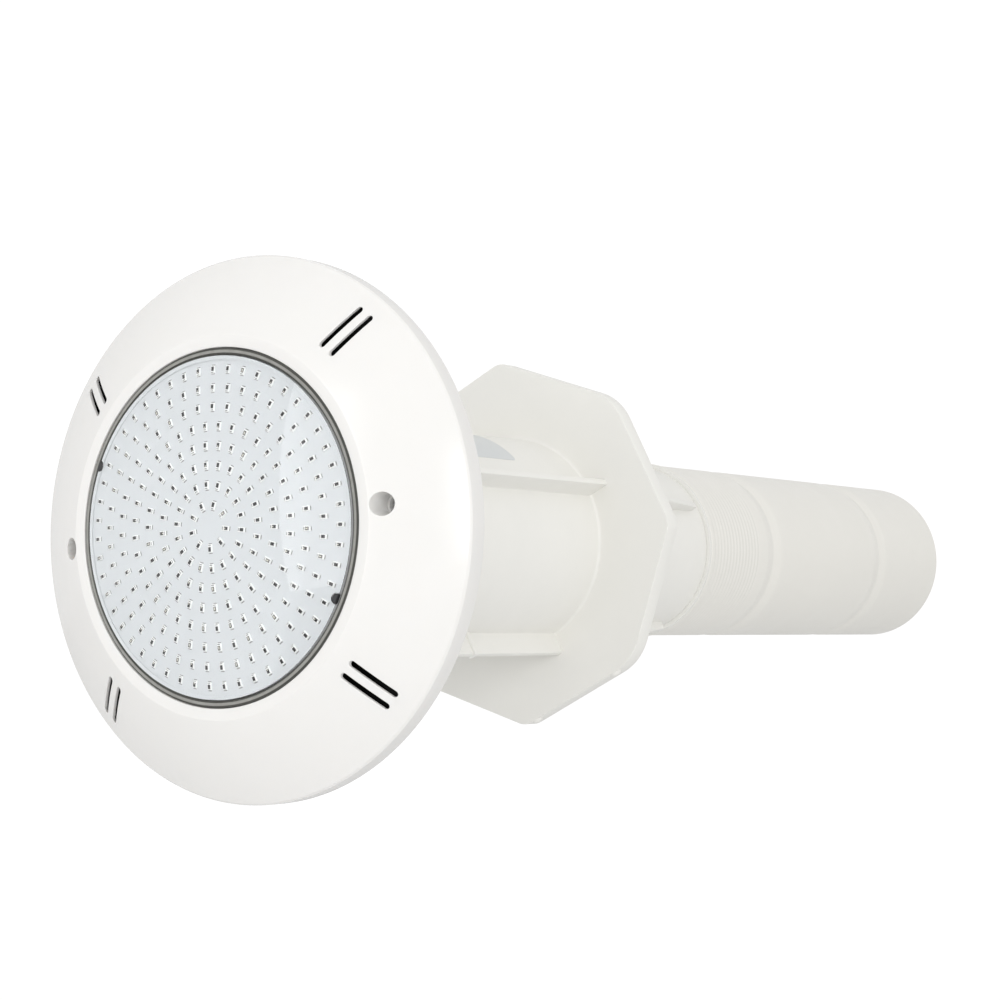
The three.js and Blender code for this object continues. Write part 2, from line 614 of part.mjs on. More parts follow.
const WAISTS = [[365, 368, 374, 384], [496, 499, 503, 511]];   // start, floor from, floor to, end
const WAIST_DEPTH = 0.8;

/** Thin-walled extension tube with a bead at its mouth and two shallow waists. */
function makeTube() {
  const bead = { radius: TUBE_RADIUS + 0.6, back: TUBE_FRONT_Y + 3, foot: TUBE_FRONT_Y + 4.5 };
  const floor = TUBE_RADIUS - WAIST_DEPTH;
  const waists = WAISTS.flatMap(([start, from, to, end]) => [
    [TUBE_RADIUS, start], [floor, from], [floor, to], [TUBE_RADIUS, end],
  ]);
  return turned([
    [TUBE_BORE, TUBE_FRONT_Y], [bead.radius, TUBE_FRONT_Y], [bead.radius, bead.back],
    [TUBE_RADIUS, bead.foot], ...waists, [TUBE_RADIUS, TUBE_END_Y], [TUBE_BORE, TUBE_END_Y],
  ], LARGE);
}

const CAP_PLATE = 4;
const CAP_SKIRT = { length: 12, wall: 3 };
const LOCKNUT = { flats: 31, thickness: 5 };

/** Plug that closes the tube's far end and carries the conduit gland. */
function makeRearCap() {
  const outer = TUBE_BORE - GAP;
  const inner = outer - CAP_SKIRT.wall;
  const plateFront = CAP_BACK_Y - CAP_PLATE;
  const skirtFront = plateFront - CAP_SKIRT.length;
  const hole = conduitGland.thread + GAP;
  return turned([
    [hole, plateFront], [inner, plateFront], [inner, skirtFront], [outer, skirtFront],
    [outer, CAP_BACK_Y], [hole, CAP_BACK_Y],
  ], LARGE);
}

function makeLocknut() {
  const back = CAP_BACK_Y - CAP_PLATE - GAP;
  const front = back - LOCKNUT.thickness;
  const hole = rod(conduitGland.thread + GAP, front - 1, back + 1, MEDIUM);
  return cut(hexagon(LOCKNUT.flats, front, back), [hole]);
}

// ---------------------------------------------------------------- every piece, front to back
add('faceplate', makeFaceplate(), glossWhite);
add('lens', makeLens(), clear);
add('lens_gasket', makeGasket(), darkRubber);
for (const [name, angle] of Object.entries(PLUG_ANGLES)) add(name, makeFillPlug(angle), blackRubber);
add('front_resin', makeFrontResin(), clear);
add('led_board', rod(BOARD_RADIUS, BOARD_FRONT_Y, BOARD_FRONT_Y + BOARD_THICKNESS, LARGE), boardWhite);
add('potting', makePotting(), pottingGrey);
add('lead_positive', makeLead(1), wireRed);
add('lead_negative', makeLead(-1), wireBlack);
add('driver_board', makeDriver(), circuitGreen);
add('lamp_housing', makeHousing(), nicheWhite);
EAR_ANGLES.forEach((angle, i) => add(`housing_screw_${i + 1}`, makeHousingScrew(angle), steel));

for (const [side, word] of [[1, 'right'], [-1, 'left']]) {
  add(`screw_washer_${word}`, makeScrewWasher(side), blackRubber);
  add(`fixing_screw_${word}`, makeFixingScrew(side), steel);
  add(`bracket_insert_${word}`, makeInsert(side), brass);
}

function addGland(prefix, g, stubFront) {
  add(`${prefix}_washer`, makeGlandWasher(g), blackRubber);
  add(`${prefix}_body`, makeGlandBody(g, stubFront), glandGrey);
  add(`${prefix}_grommet`, makeGlandGrommet(g), blackRubber);
  add(`${prefix}_slip_ring`, makeGlandSlipRing(g), paleRubber);
  add(`${prefix}_nut`, makeGlandNut(g), glandGrey);
}

addGland('lamp_gland', lampGland, DRIVER_Y + 3);
add('niche_bracket', makeBracket(), bracketBlack);
add('niche_body', makeNiche(), nicheWhite);
add('neck_seal', makeNeckSeal(), blackRubber);
add('tube_seal', makeTubeSeal(), paleRubber);
add('extension_tube', makeTube(), nicheWhite);
add('rear_cap', makeRearCap(), nicheWhite);
addGland('conduit_gland', conduitGland, CAP_BACK_Y - 12);
add('conduit_gland_locknut', makeLocknut(), glandGrey);

export default light;
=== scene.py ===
"""Looks of the underwater pool light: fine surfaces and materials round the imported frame.

Sizes are millimetres in the frame's own axes unless a name ends in _M. The lamp faces -Y, the
niche runs back along +Y, and the common axis of every turned piece is the Y axis.
"""

import json
import random
from math import asin, atan2, cos, hypot, pi, radians, sin, sqrt, tan, tau

import bmesh
import bpy
from mathutils import Matrix, Vector

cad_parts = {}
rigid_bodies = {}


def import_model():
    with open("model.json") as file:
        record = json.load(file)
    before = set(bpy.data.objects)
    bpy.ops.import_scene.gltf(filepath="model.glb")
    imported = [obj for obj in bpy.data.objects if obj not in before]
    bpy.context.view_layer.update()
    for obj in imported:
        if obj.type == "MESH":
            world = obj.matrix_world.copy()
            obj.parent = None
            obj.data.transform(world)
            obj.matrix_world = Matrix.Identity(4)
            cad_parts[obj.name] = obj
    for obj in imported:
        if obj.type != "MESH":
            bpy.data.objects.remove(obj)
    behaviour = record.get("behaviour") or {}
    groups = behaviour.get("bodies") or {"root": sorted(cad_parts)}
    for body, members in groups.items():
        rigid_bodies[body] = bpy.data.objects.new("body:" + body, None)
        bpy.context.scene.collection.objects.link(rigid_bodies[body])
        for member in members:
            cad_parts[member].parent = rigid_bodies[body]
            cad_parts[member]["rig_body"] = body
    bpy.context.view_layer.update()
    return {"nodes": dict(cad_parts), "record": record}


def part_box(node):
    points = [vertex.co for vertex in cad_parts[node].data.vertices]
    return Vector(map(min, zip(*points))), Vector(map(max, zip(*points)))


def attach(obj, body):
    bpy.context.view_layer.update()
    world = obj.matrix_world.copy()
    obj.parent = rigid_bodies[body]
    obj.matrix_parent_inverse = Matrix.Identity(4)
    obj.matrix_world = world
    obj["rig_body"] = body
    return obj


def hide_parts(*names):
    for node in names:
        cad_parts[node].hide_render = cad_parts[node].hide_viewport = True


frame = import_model()

MM = 0.001
GAP = 0.3
FINE = 256
MEDIUM = 96
SMALL = 48


def box_mm(node):
    """Lowest and highest corner of a CAD node, in millimetres."""
    low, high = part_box(node)
    return low / MM, high / MM


def centre_mm(node):
    low, high = box_mm(node)
    return (low + high) / 2


# ---- sizes read from the frame
face_low, face_high = box_mm("faceplate")
FACE_Y = face_low.y
RIM_RADIUS = face_high.x
RIM_BACK_Y = face_high.y
lens_low, lens_high = box_mm("lens")
LENS_APEX_Y = lens_low.y
LENS_BACK_Y = lens_high.y
HOUSING_RADIUS = lens_high.x
board_low, board_high = box_mm("led_board")
BOARD_FRONT_Y = board_low.y
BOARD_RADIUS = board_high.x
gasket_high = box_mm("lens_gasket")[1]
GASKET_OUTER = gasket_high.x
GASKET_BACK_Y = gasket_high.y
SCREW_CIRCLE = centre_mm("fixing_screw_right").x
housing_low, housing_high = box_mm("lamp_housing")
niche_low, niche_high = box_mm("niche_body")
tube_low, tube_high = box_mm("extension_tube")
bracket_low, bracket_high = box_mm("niche_bracket")
cap_low, cap_high = box_mm("rear_cap")

# ---- sizes of the lamp
RIM_EDGE_Y = -3.9  # where the domed face meets the side wall
RIM_TURN = 0.7  # width of the rounding between them
BEZEL_RADIUS = 79.4
OPENING_RADIUS = 74.4
FACE_BULGE = 1.2
WALL = 3
WELL_RADIUS = 4.9
WELL_FLOOR_Y = -12.3
WELL_BORE = 3.65
SEAT_Y = -5
SCREW_RADIUS = 2
EAR_ANGLES = (60, 120, 240, 300)
SLOT_PAIRS = ((47.4, 0.8), (136.9, -2), (222.6, 0.3), (313.8, -0.4))  # angle, shift outward
SLOT_INNER = 87.2
SLOT_OUTER = 107.6
SLOT_WIDTH = 2.7
SLOT_OFFSET = 3.2
SLOT_WALL = 1.4
LIP = 0.25  # rounding of the lips of wells and slots
COLLAR_BACK_Y = -14
PILLAR_RADIUS, PILLAR_BACK_Y = 6.5, -0.6  # pillars round the screw wells
POST_RADIUS, POST_BACK_Y = 4.5, -9.3  # posts that take the housing's screws
LENS_RADIUS = 70.9
LENS_RIM_Y = -24.8
LENS_FOOT_Y = -19.7
GASKET_INNER = 71.3
LENS_BORE = BOARD_RADIUS + 0.4
PLUGS = {"fill_plug_upper": 152, "fill_plug_lower": -30}
PLUG_RADIUS = 2.1
PLUG_FRONT_Y = -25.7

FLOOR_Y = -5.5  # back of the housing's floor
EAR_RADIUS, EAR_FRONT_Y = 5, -8.8

# ---- LED packages
LED_RINGS = (9, 18, 24, 30, 36, 39, 45, 51)
LED_FIRST_RADIUS = 8.7
LED_PITCH = 8.02
LED_LENGTH = 3.4
LED_WIDTH = 2.05
LED_HEIGHT = 0.65
LED_KINDS = (0, 0, 0, 1, 1, 2)  # plain dark window, window with a notch, pale window with a dark rim

# ---- sizes of the niche and tube
BARREL_RADIUS = 50
BARREL_BORE = 46.5
FLANGE_FRONT_Y = 192.3
FLANGE_BACK_Y = 201.3
FLANGE_APOTHEM = 82
FIN_ANGLES = (22.5, 112.5, 202.5, 292.5)
FIN_OUTER = 60.5
FIN_THICKNESS = 3
LOW_SIDE = -67.5  # angle of the lower right fin, and of the flange's side there
CLIP_Y = (118.5, 121.5)  # cable clip on that fin
GATE_MARKS = (-27.6, 22.1)  # moulding marks along that side of the flange, from its middle
LABEL_Y = (62, 145)
LABEL_ANGLES = (41, 109)
NECK_RADIUS = 43.4
NECK_BORE = 39.5
NECK_SHOULDER_Y = 306.6
TUBE_RADIUS = 45
TUBE_BORE = 42.6
WAISTS = ((371, 379, 386.5), (501, 509, 516.5))  # where each waist starts, is deepest and ends
WAIST_DEPTH = 1.6
RING_COUNT = 14
RING_PITCH = 3.3
RING_DEPTH = 0.13
LOCKNUT_FLATS = 31
CONDUIT_THREAD = 12
SQUEEZE = 0.28  # how far the tube's seal fills the gap on either side of it


# ---- outlines
def filleted(corners, closed=True, steps=4):
    """Outline points in which each corner (a, b, radius) is rounded by an arc."""
    points = []
    for i, corner in enumerate(corners):
        tip = Vector(corner[:2])
        radius = corner[2] if len(corner) > 2 else 0
        if not radius or (not closed and i in (0, len(corners) - 1)):
            points.append(tuple(tip))
            continue
        before = Vector(corners[i - 1][:2]) - tip
        after = Vector(corners[(i + 1) % len(corners)][:2]) - tip
        half = before.angle(after) / 2
        reach = min(radius / tan(half), before.length * 0.49, after.length * 0.49)
        middle = (before.normalized() + after.normalized()).normalized()
        centre = tip + middle * (reach / cos(half))
        start = tip + before.normalized() * reach - centre
        end = tip + after.normalized() * reach - centre
        spoke, first = start.length, atan2(start.y, start.x)
        sweep = (atan2(end.y, end.x) - first + pi) % tau - pi
        for k in range(steps + 1):
            angle = first + sweep * k / steps
            points.append((centre.x + spoke * cos(angle), centre.y + spoke * sin(angle)))
    return points


def spun(x, z, angle):
    """A point turned about the Y axis, from +X towards +Z."""
    c, s = cos(angle), sin(angle)
    return x * c - z * s, x * s + z * c


def arc(start, end, bulge, steps):
    """Points of a circular arc between two points, rising by bulge over the chord."""
    (r0, y0), (r1, y1) = start, end
    chord = hypot(r1 - r0, y1 - y0)
    radius = (chord**2 / 4 + bulge**2) / (2 * bulge)
    half = asin(chord / 2 / radius)
    ux, uy = (r1 - r0) / chord, (y1 - y0) / chord
    points = []
    for i in range(steps + 1):
        angle = half * (2 * i / steps - 1)
        along = chord / 2 + radius * sin(angle)
        rise = radius * (cos(angle) - cos(half))
        points.append((r0 + ux * along + uy * rise, y0 + uy * along - ux * rise))
    return points


def face_arc(inset, steps):
    """The faceplate's domed face, or a surface inset mm behind it."""
    start = (BEZEL_RADIUS - inset / 4, FACE_Y + inset)
    end = (RIM_RADIUS - RIM_TURN - inset, RIM_EDGE_Y - 1 + inset / 2)
    return arc(start, end, FACE_BULGE - inset / 10, steps)


def face_y(radius):
    """Height of the faceplate's front at a distance from the axis."""
    if radius <= BEZEL_RADIUS:
        return FACE_Y
    outline = face_arc(0, 60)
    for (r0, y0), (r1, y1) in zip(outline, outline[1:]):
        if r0 <= radius <= r1:
            return y0 + (y1 - y0) * (radius - r0) / (r1 - r0)
    return outline[-1][1]


def dome(apex_y, sphere, radius, steps):
    """Points of a dome about the Y axis, from the axis to the given radius."""
    points = []
    for i in range(steps + 1):
        r = radius * i / steps
        points.append((r, apex_y + sphere - sqrt(sphere**2 - r**2)))
    return points


# ---- meshes
def linked(name, data):
    obj = bpy.data.objects.new(name, data)
    bpy.context.scene.collection.objects.link(obj)
    return obj


def mesh_from(work, name):
    """A linked object from a BMesh, which is used up."""
    mesh = bpy.data.meshes.new(name)
    work.to_mesh(mesh)
    work.free()
    return linked(name, mesh)


def reworked(obj, change):
    """Lets a function change an object's mesh as a BMesh."""
    work = bmesh.new()
    work.from_mesh(obj.data)
    change(work)
    work.to_mesh(obj.data)
    work.free()
    return obj


def face_out(work):
    bmesh.ops.recalc_face_normals(work, faces=work.faces)


def mesh_object(name, verts, faces):
    """A linked object from vertices in mm, with its faces pointing out."""
    mesh = bpy.data.meshes.new(name)
    mesh.from_pydata([Vector(v) * MM for v in verts], [], faces)
    return reworked(linked(name, mesh), face_out)


def turned(name, outline, segments=FINE, ripple=None):
    """A closed surface turned about the Y axis from (radius, y) points.

    ripple(angle, radius, y) says how far a point moves out.
    """
    verts, rings, faces = [], [], []
    for radius, y in outline:
        count = 1 if radius < 1e-6 else segments
        rings.append(range(len(verts), len(verts) + count))
        for i in range(count):
            angle = tau * i / segments
            r = radius + (ripple(angle, radius, y) if ripple and count > 1 else 0)
            verts.append((r * cos(angle), y, r * sin(angle)))
    pairs = list(zip(rings, rings[1:]))
    if len(rings[0]) > 1:
        pairs.append((rings[-1], rings[0]))
    for a, b in pairs:
        for i in range(segments):
            j = i + 1
            corners = [a[i % len(a)], a[j % len(a)], b[j % len(b)], b[i % len(b)]]
            faces.append(list(dict.fromkeys(corners)))
    return mesh_object(name, verts, faces)


def bevelled(work, edges, size):
    """Rounds some edges of a BMesh."""
    bmesh.ops.bevel(work, geom=edges, offset=size * MM, segments=3, profile=0.5, affect="EDGES")


def slab(inner, outer, half):
    """The (x, z) outline of a radial plate of that half thickness."""
    return [(inner, -half), (outer, -half), (outer, half), (inner, half)]


def extruded(name, outline, y0, y1, bevel=0):
    """A closed (x, z) outline swept along Y from y0 to y1, with its end edges rounded."""
    count = len(outline)
    verts = [(x, y, z) for y in (y0, y1) for x, z in outline]
    faces = [list(range(count)), list(range(count, 2 * count))]
    for i in range(count):
        j = (i + 1) % count
        faces.append([i, j, count + j, count + i])

    def round_ends(work):
        ends = [f for f in work.faces if len(f.verts) == count and abs(f.normal.y) > 0.9]
        bevelled(work, list({e for f in ends for e in f.edges}), bevel)

    obj = mesh_object(name, verts, faces)
    return reworked(obj, round_ends) if bevel else obj


def rod(name, radius, y0, y1, x=0, z=0, segments=MEDIUM, edge=0):
    """A round bar along Y, with rounded end edges."""
    outline = filleted([(0, y0), (radius, y0, edge), (radius, y1, edge), (0, y1)], closed=False)
    return shifted(turned(name, outline, segments), x, 0, z)


def shifted(obj, x=0, y=0, z=0):
    obj.data.transform(Matrix.Translation(Vector((x, y, z)) * MM))
    return obj


def around(obj, degrees):
    """Turns an object about the Y axis, so that what lies on +X goes to the angle towards +Z."""
    obj.data.transform(Matrix.Rotation(-radians(degrees), 4, "Y"))
    return obj


def combine(target, tools, operation):
    """Joins target with the tools, cuts it by them or keeps what they share. The tools are used up."""
    for tool in tools:
        modifier = target.modifiers.new("combine", "BOOLEAN")
        modifier.operation = operation
        modifier.solver = "MANIFOLD"
        modifier.object = tool
    bpy.context.view_layer.update()
    graph = bpy.context.evaluated_depsgraph_get()
    mesh = bpy.data.meshes.new_from_object(target.evaluated_get(graph))
    target.modifiers.clear()
    target.data = mesh
    for tool in tools:
        bpy.data.objects.remove(tool)
    return target


def join(target, *others):
    return combine(target, others, "UNION")


def cut(target, *tools):
    return combine(target, tools, "DIFFERENCE")


def hexagon(name, across_flats, y0, y1, chamfer=0.6):
    """A hexagonal prism along Y whose corners are turned off at both ends, as on a nut."""
    corner = across_flats / sqrt(3)
    turns = [radians(60 * i) for i in range(6)]
    outline = [(corner * cos(a), corner * sin(a), 0.4) for a in turns]
    prism = extruded(name, filleted(outline), y0, y1)
    flat, past = across_flats / 2, corner + 0.1
    limits = turned("limits", [
        (0, y0), (flat, y0), (past, y0 + chamfer), (past, y1 - chamfer), (flat, y1), (0, y1),
    ], MEDIUM)
    return combine(prism, [limits], "INTERSECT")


def thread(crest, depth, pitch):
    """A ripple that turns the part of a rod at the crest's radius into a screw thread."""
    def ripple(angle, radius, y):
        if abs(radius - crest) > 0.01:
            return 0
        turn = (y / pitch - angle / tau) % 1
        return -depth * (1 - min(1, abs(2 * turn - 1) * 1.4))
    return ripple


def stretch(radius, y0, y1, step):
    """Points along a straight stretch at one radius, close enough together for a ripple."""
    count = max(2, round(abs(y1 - y0) / step))
    return [(radius, y0 + (y1 - y0) * i / count) for i in range(count + 1)]


# ---- materials
MATERIALS = {}


def with_sockets(node, **sockets):
    """Sets a shader node's input sockets, named with _ for each space."""
    for name, value in sockets.items():
        node.inputs[name.replace("_", " ")].default_value = value
    return node


def add_node(tree, kind, **sockets):
    return with_sockets(tree.nodes.new("ShaderNode" + kind), **sockets)


def switch_by_ray(tree, ray, usual, special, output):
    """Sends one shader to the output, and another one to the rays of one kind."""
    path, mix = add_node(tree, "LightPath"), add_node(tree, "MixShader")
    tree.links.new(path.outputs[ray], mix.inputs["Fac"])
    tree.links.new(usual, mix.inputs[1])
    tree.links.new(special, mix.inputs[2])
    tree.links.new(mix.outputs["Shader"], tree.nodes[output].inputs["Surface"])


class Surface:
    """A Principled material being built from procedural textures in the object's own metres."""

    def __init__(self, slot, colour, roughness, **sockets):
        material = bpy.data.materials.new(slot)
        material.use_nodes = True
        self.tree = material.node_tree
        self.shader = self.tree.nodes["Principled BSDF"]
        self.coords = add_node(self.tree, "TexCoord").outputs["Object"]
        self.colour = (*colour, 1)
        with_sockets(self.shader, Base_Color=self.colour, Roughness=roughness, **sockets)
        MATERIALS[slot] = material

    def link(self, source, target):
        self.tree.links.new(source, target)

    def noise(self, scale_m, detail=2.0, stretch_by=(1, 1, 1)):
        """Noise whose features are about scale_m metres across."""
        node = add_node(self.tree, "TexNoise", Scale=1 / scale_m, Detail=detail)
        source = self.coords
        if stretch_by != (1, 1, 1):
            mapping = add_node(self.tree, "Mapping", Scale=stretch_by)
            self.link(self.coords, mapping.inputs["Vector"])
            source = mapping.outputs["Vector"]
        self.link(source, node.inputs["Vector"])
        return node.outputs["Fac"]

    def remap(self, value, low, high, start=0.3, stop=0.7):
        node = add_node(self.tree, "MapRange", From_Min=start, From_Max=stop, To_Min=low, To_Max=high)
        self.link(value, node.inputs["Value"])
        return node.outputs["Result"]

    def tint(self, factor, other):
        """Blends the colour so far towards another colour by a factor."""
        node = add_node(self.tree, "Mix")
        node.data_type = "RGBA"
        self.link(factor, node.inputs["Factor"])
        base = self.shader.inputs["Base Color"]
        if base.is_linked:
            self.link(base.links[0].from_socket, node.inputs["A"])
        else:
            node.inputs["A"].default_value = self.colour
        node.inputs["B"].default_value = (*other, 1)
        self.link(node.outputs["Result"], base)
        return self

    def vary_colour(self, scale_m, other, most=1.0):
        return self.tint(self.remap(self.noise(scale_m), 0, most), other)

    def vary_roughness(self, scale_m, low, high):
        self.link(self.remap(self.noise(scale_m, 3), low, high), self.shader.inputs["Roughness"])
        return self

    def specks(self, spacing_m, radius_share, other, most):
        """A few small dark specks, as moulded white plastic has."""
        node = add_node(self.tree, "TexVoronoi", Scale=1 / spacing_m)
        self.link(self.coords, node.inputs["Vector"])
        share = self.remap(node.outputs["Distance"], most, 0, radius_share * 0.5, radius_share)
        return self.tint(share, other)

    def off_radius(self, radius_mm):
        """Distance in metres of a point from a circle of that radius about the Y axis."""
        flat = self.computed("VectorMath", "MULTIPLY", self.coords, (1, 0, 1)).outputs["Vector"]
        length = self.computed("VectorMath", "LENGTH", flat).outputs["Value"]
        off = self.computed("Math", "SUBTRACT", length, radius_mm * MM).outputs["Value"]
        return self.computed("Math", "ABSOLUTE", off).outputs["Value"]

    def computed(self, kind, operation, source, other=None):
        """A mathematical node on a source and a fixed second value."""
        node = add_node(self.tree, kind)
        node.operation = operation
        self.link(source, node.inputs[0])
        if other is not None:
            node.inputs[1].default_value = other
        return node

    def bump(self, height, depth_m):
        """Adds a height texture to the normal, over those added before."""
        node = add_node(self.tree, "Bump", Distance=depth_m)
        self.link(height, node.inputs["Height"])
        normal = self.shader.inputs["Normal"]
        if normal.is_linked:
            self.link(normal.links[0].from_socket, node.inputs["Normal"])
        self.link(node.outputs["Normal"], normal)
        return self


def white_plastic(slot, colour, shade, roughness, peel_m, grain_m, **sockets):
    """Moulded white plastic: slow colour variation, orange peel, fine grain and a few specks."""
    low, high = roughness
    surface = Surface(slot, colour, low, IOR=1.5, **sockets)
    with_sockets(surface.shader, Subsurface_Radius=(1, 0.95, 0.9), Subsurface_Scale=3 * MM)
    surface.vary_colour(0.06, shade, 0.5)
    surface.vary_colour(0.009, shade, 0.22)
    surface.specks(0.02, 0.014, [c * 0.45 for c in shade], 0.5)
    surface.vary_roughness(0.018, low, high)
    surface.bump(surface.noise(0.006, 1), peel_m)
    surface.bump(surface.noise(0.0005, 2), grain_m)
    return surface


def rubber(slot, colour, shade):
    surface = Surface(slot, colour, 0.5, IOR=1.5)
    surface.vary_colour(0.004, shade, 0.7)
    surface.vary_roughness(0.002, 0.32, 0.6)
    surface.bump(surface.noise(0.0004, 3), 0.00003)
    return surface


def gasket_rubber():
    """Rubber with a paler crest along its middle, painted darker on either side as painted shade for the
    grooves beside the rib.
    """
    surface = rubber("gasket_grey", (0.30, 0.30, 0.28), (0.22, 0.215, 0.2))
    middle = (GASKET_INNER + GASKET_OUTER) / 2
    # Painted shade: the rubber darkens away from the middle radius, over the grooves on either side of the
    # crest.
    side = surface.remap(surface.off_radius(middle), 0, 1, 0.45 * MM, 0.75 * MM)
    surface.tint(side, (0.07, 0.07, 0.062))


def metal(slot, colour, shade, roughness, grain):
    """Machined metal with fine turning marks round or along the piece."""
    low, high = roughness
    surface = Surface(slot, colour, low, Metallic=1.0)
    surface.vary_colour(0.003, shade, 0.6)
    surface.vary_roughness(0.0015, low, high)
    surface.bump(surface.noise(0.0004, 3, grain), 0.00001)
    return surface


def dark_plastic(slot, colour, shade, roughness):
    low, high = roughness
    surface = Surface(slot, colour, low, IOR=1.5)
    surface.vary_colour(0.006, shade, 0.8)
    surface.vary_roughness(0.003, low, high)
    surface.bump(surface.noise(0.0006, 4), 0.00004)
    return surface


def clear_lens():
    """Clear polycarbonate over resin: it bends what is behind it, and lets lamps through."""
    surface = Surface("lens_clear", (0.985, 0.995, 1.0), 0.02, IOR=1.49, Transmission_Weight=1.0)
    surface.bump(surface.noise(0.02, 1), 0.00002)
    passing = add_node(surface.tree, "BsdfTransparent", Color=(0.97, 0.985, 0.99, 1)).outputs["BSDF"]
    usual = surface.shader.outputs["BSDF"]
    switch_by_ray(surface.tree, "Is Shadow Ray", usual, passing, "Material Output")


def make_materials():
    white_plastic("faceplate_plastic", (0.79, 0.78, 0.762), (0.77, 0.762, 0.742), (0.13, 0.2),
                  1.5e-5, 1e-6, Subsurface_Weight=0.3)
    white_plastic("housing_plastic", (0.84, 0.838, 0.82), (0.8, 0.8, 0.78), (0.32, 0.45), 2e-5, 8e-6)
    white_plastic("niche_plastic", (0.85, 0.84, 0.80), (0.81, 0.805, 0.765), (0.34, 0.48), 2.5e-5, 8e-6)
    white_plastic("tube_plastic", (0.815, 0.80, 0.75), (0.785, 0.772, 0.725), (0.28, 0.4), 2.5e-5, 6e-6)
    white_plastic("board_white", (0.70, 0.712, 0.722), (0.68, 0.694, 0.706), (0.35, 0.5), 1e-5, 6e-6)
    white_plastic("led_package", (0.95, 0.945, 0.93), (0.92, 0.91, 0.89), (0.3, 0.4), 5e-6, 2e-6)
    white_plastic("pale_seal", (0.80, 0.795, 0.76), (0.77, 0.765, 0.73), (0.35, 0.5), 1e-5, 8e-6)
    white_plastic("label_film", (0.655, 0.675, 0.68), (0.63, 0.655, 0.66), (0.25, 0.35), 1e-5, 4e-6)
    gasket_rubber()
    rubber("plug_rubber", (0.025, 0.026, 0.028), (0.045, 0.045, 0.045))
    metal("steel", (0.66, 0.67, 0.69), (0.56, 0.57, 0.6), (0.22, 0.38), (1, 6, 1))
    metal("brass", (0.72, 0.56, 0.28), (0.6, 0.44, 0.2), (0.25, 0.4), (1, 8, 1))
    dark_plastic("gland_plastic", (0.035, 0.037, 0.04), (0.055, 0.057, 0.06), (0.4, 0.6))
    # Near-black bracket: painted shade, dark enough that the faceplate's slots read as black holes.
    dark_plastic("bracket_plastic", (0.006, 0.006, 0.0065), (0.012, 0.012, 0.013), (0.6, 0.8))
    dark_plastic("led_die", (0.004, 0.0035, 0.003), (0.02, 0.012, 0.01), (0.35, 0.55))
    dark_plastic("potting_resin", (0.25, 0.26, 0.28), (0.3, 0.31, 0.33), (0.4, 0.6))
    dark_plastic("wire_red", (0.42, 0.03, 0.025), (0.34, 0.02, 0.02), (0.35, 0.5))
    dark_plastic("wire_black", (0.02, 0.02, 0.022), (0.03, 0.03, 0.032), (0.35, 0.5))
    dark_plastic("circuit_board", (0.02, 0.14, 0.06), (0.03, 0.19, 0.08), (0.3, 0.5))
    dark_plastic("led_pad", (0.27, 0.26, 0.25), (0.2, 0.19, 0.18), (0.3, 0.5))
    dark_plastic("led_cup", (0.62, 0.60, 0.54), (0.7, 0.66, 0.55), (0.3, 0.5))
    clear_lens()


def finished(obj, slot, nodes=(), body=None, look=None, sharp=32):
    """Gives a piece its material and shading, hides the CAD nodes it takes the place of, and sets the body
    it rides on.
    """
    obj.data.materials.clear()
    obj.data.materials.append(MATERIALS[look or slot])
    obj.data.shade_smooth()
    obj.data.set_sharp_from_angle(angle=radians(sharp))
    if nodes:
        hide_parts(*nodes)
        body = frame["nodes"][nodes[0]]["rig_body"]
    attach(obj, body)
    return obj


# ---- faceplate
def lipped_cutter(name, outline, bottom_y, lip):
    """A cutter for a hole in the domed face, whose flared top rounds the hole's lip along the face.

    outline holds (x, z, out_x, out_z) points, the last two being the way out of the hole.
    """
    levels = [(0, None, bottom_y), (0, lip, None)]
    for k in range(1, 5):
        angle = radians(80) * k / 4
        levels.append((lip * (1 - cos(angle)), lip * (1 - sin(angle)), None))
    levels.append((lip * 1.05, -4, None))
    verts, faces = [], []
    for offset, rise, fixed in levels:
        for x, z, out_x, out_z in outline:
            px, pz = x + out_x * offset, z + out_z * offset
            height = fixed if fixed is not None else face_y(hypot(px, pz)) + rise
            verts.append((px, height, pz))
    count = len(outline)
    for level in range(len(levels) - 1):
        for i in range(count):
            j = (i + 1) % count
            low, high = level * count, (level + 1) * count
            faces.append([low + i, low + j, high + j, high + i])
    faces.append(list(range(count)))
    last = (len(levels) - 1) * count
    centre_x = sum(p[0] for p in outline) / count
    centre_z = sum(p[1] for p in outline) / count
    verts.append((centre_x, face_y(hypot(centre_x, centre_z)) - 4, centre_z))
    for i in range(count):
        faces.append([last + i, last + (i + 1) % count, len(verts) - 1])
    return mesh_object(name, verts, faces)


def slot_outline(angle, shift, side):
    """A radial slot with round ends, as points with the way out of the slot."""
    radius = SLOT_WIDTH / 2
    local = []
    for end, first in ((SLOT_OUTER - radius, -90), (SLOT_INNER + radius, 90)):
        for k in range(13):
            a = radians(first + 15 * k)
            local.append((end, cos(a), sin(a)))
        way = -1 if first < 0 else 1
        straight = way * (SLOT_OUTER - SLOT_INNER - SLOT_WIDTH)
        local += [(end + straight * k / 12, 0, -way) for k in range(1, 12)]
    turn = radians(angle)
    points = []
    for along, out_along, out_across in local:
        x, z = along + shift + out_along * radius, side * SLOT_OFFSET + out_across * radius
        points.append((*spun(x, z, turn), *spun(out_along, out_across, turn)))
    return points


def round_outline(x, z, radius, count=48):
    turns = [tau * i / count for i in range(count)]
    ways = [(cos(a), sin(a)) for a in turns]
    return [(x + radius * c, z + radius * s, c, s) for c, s in ways]


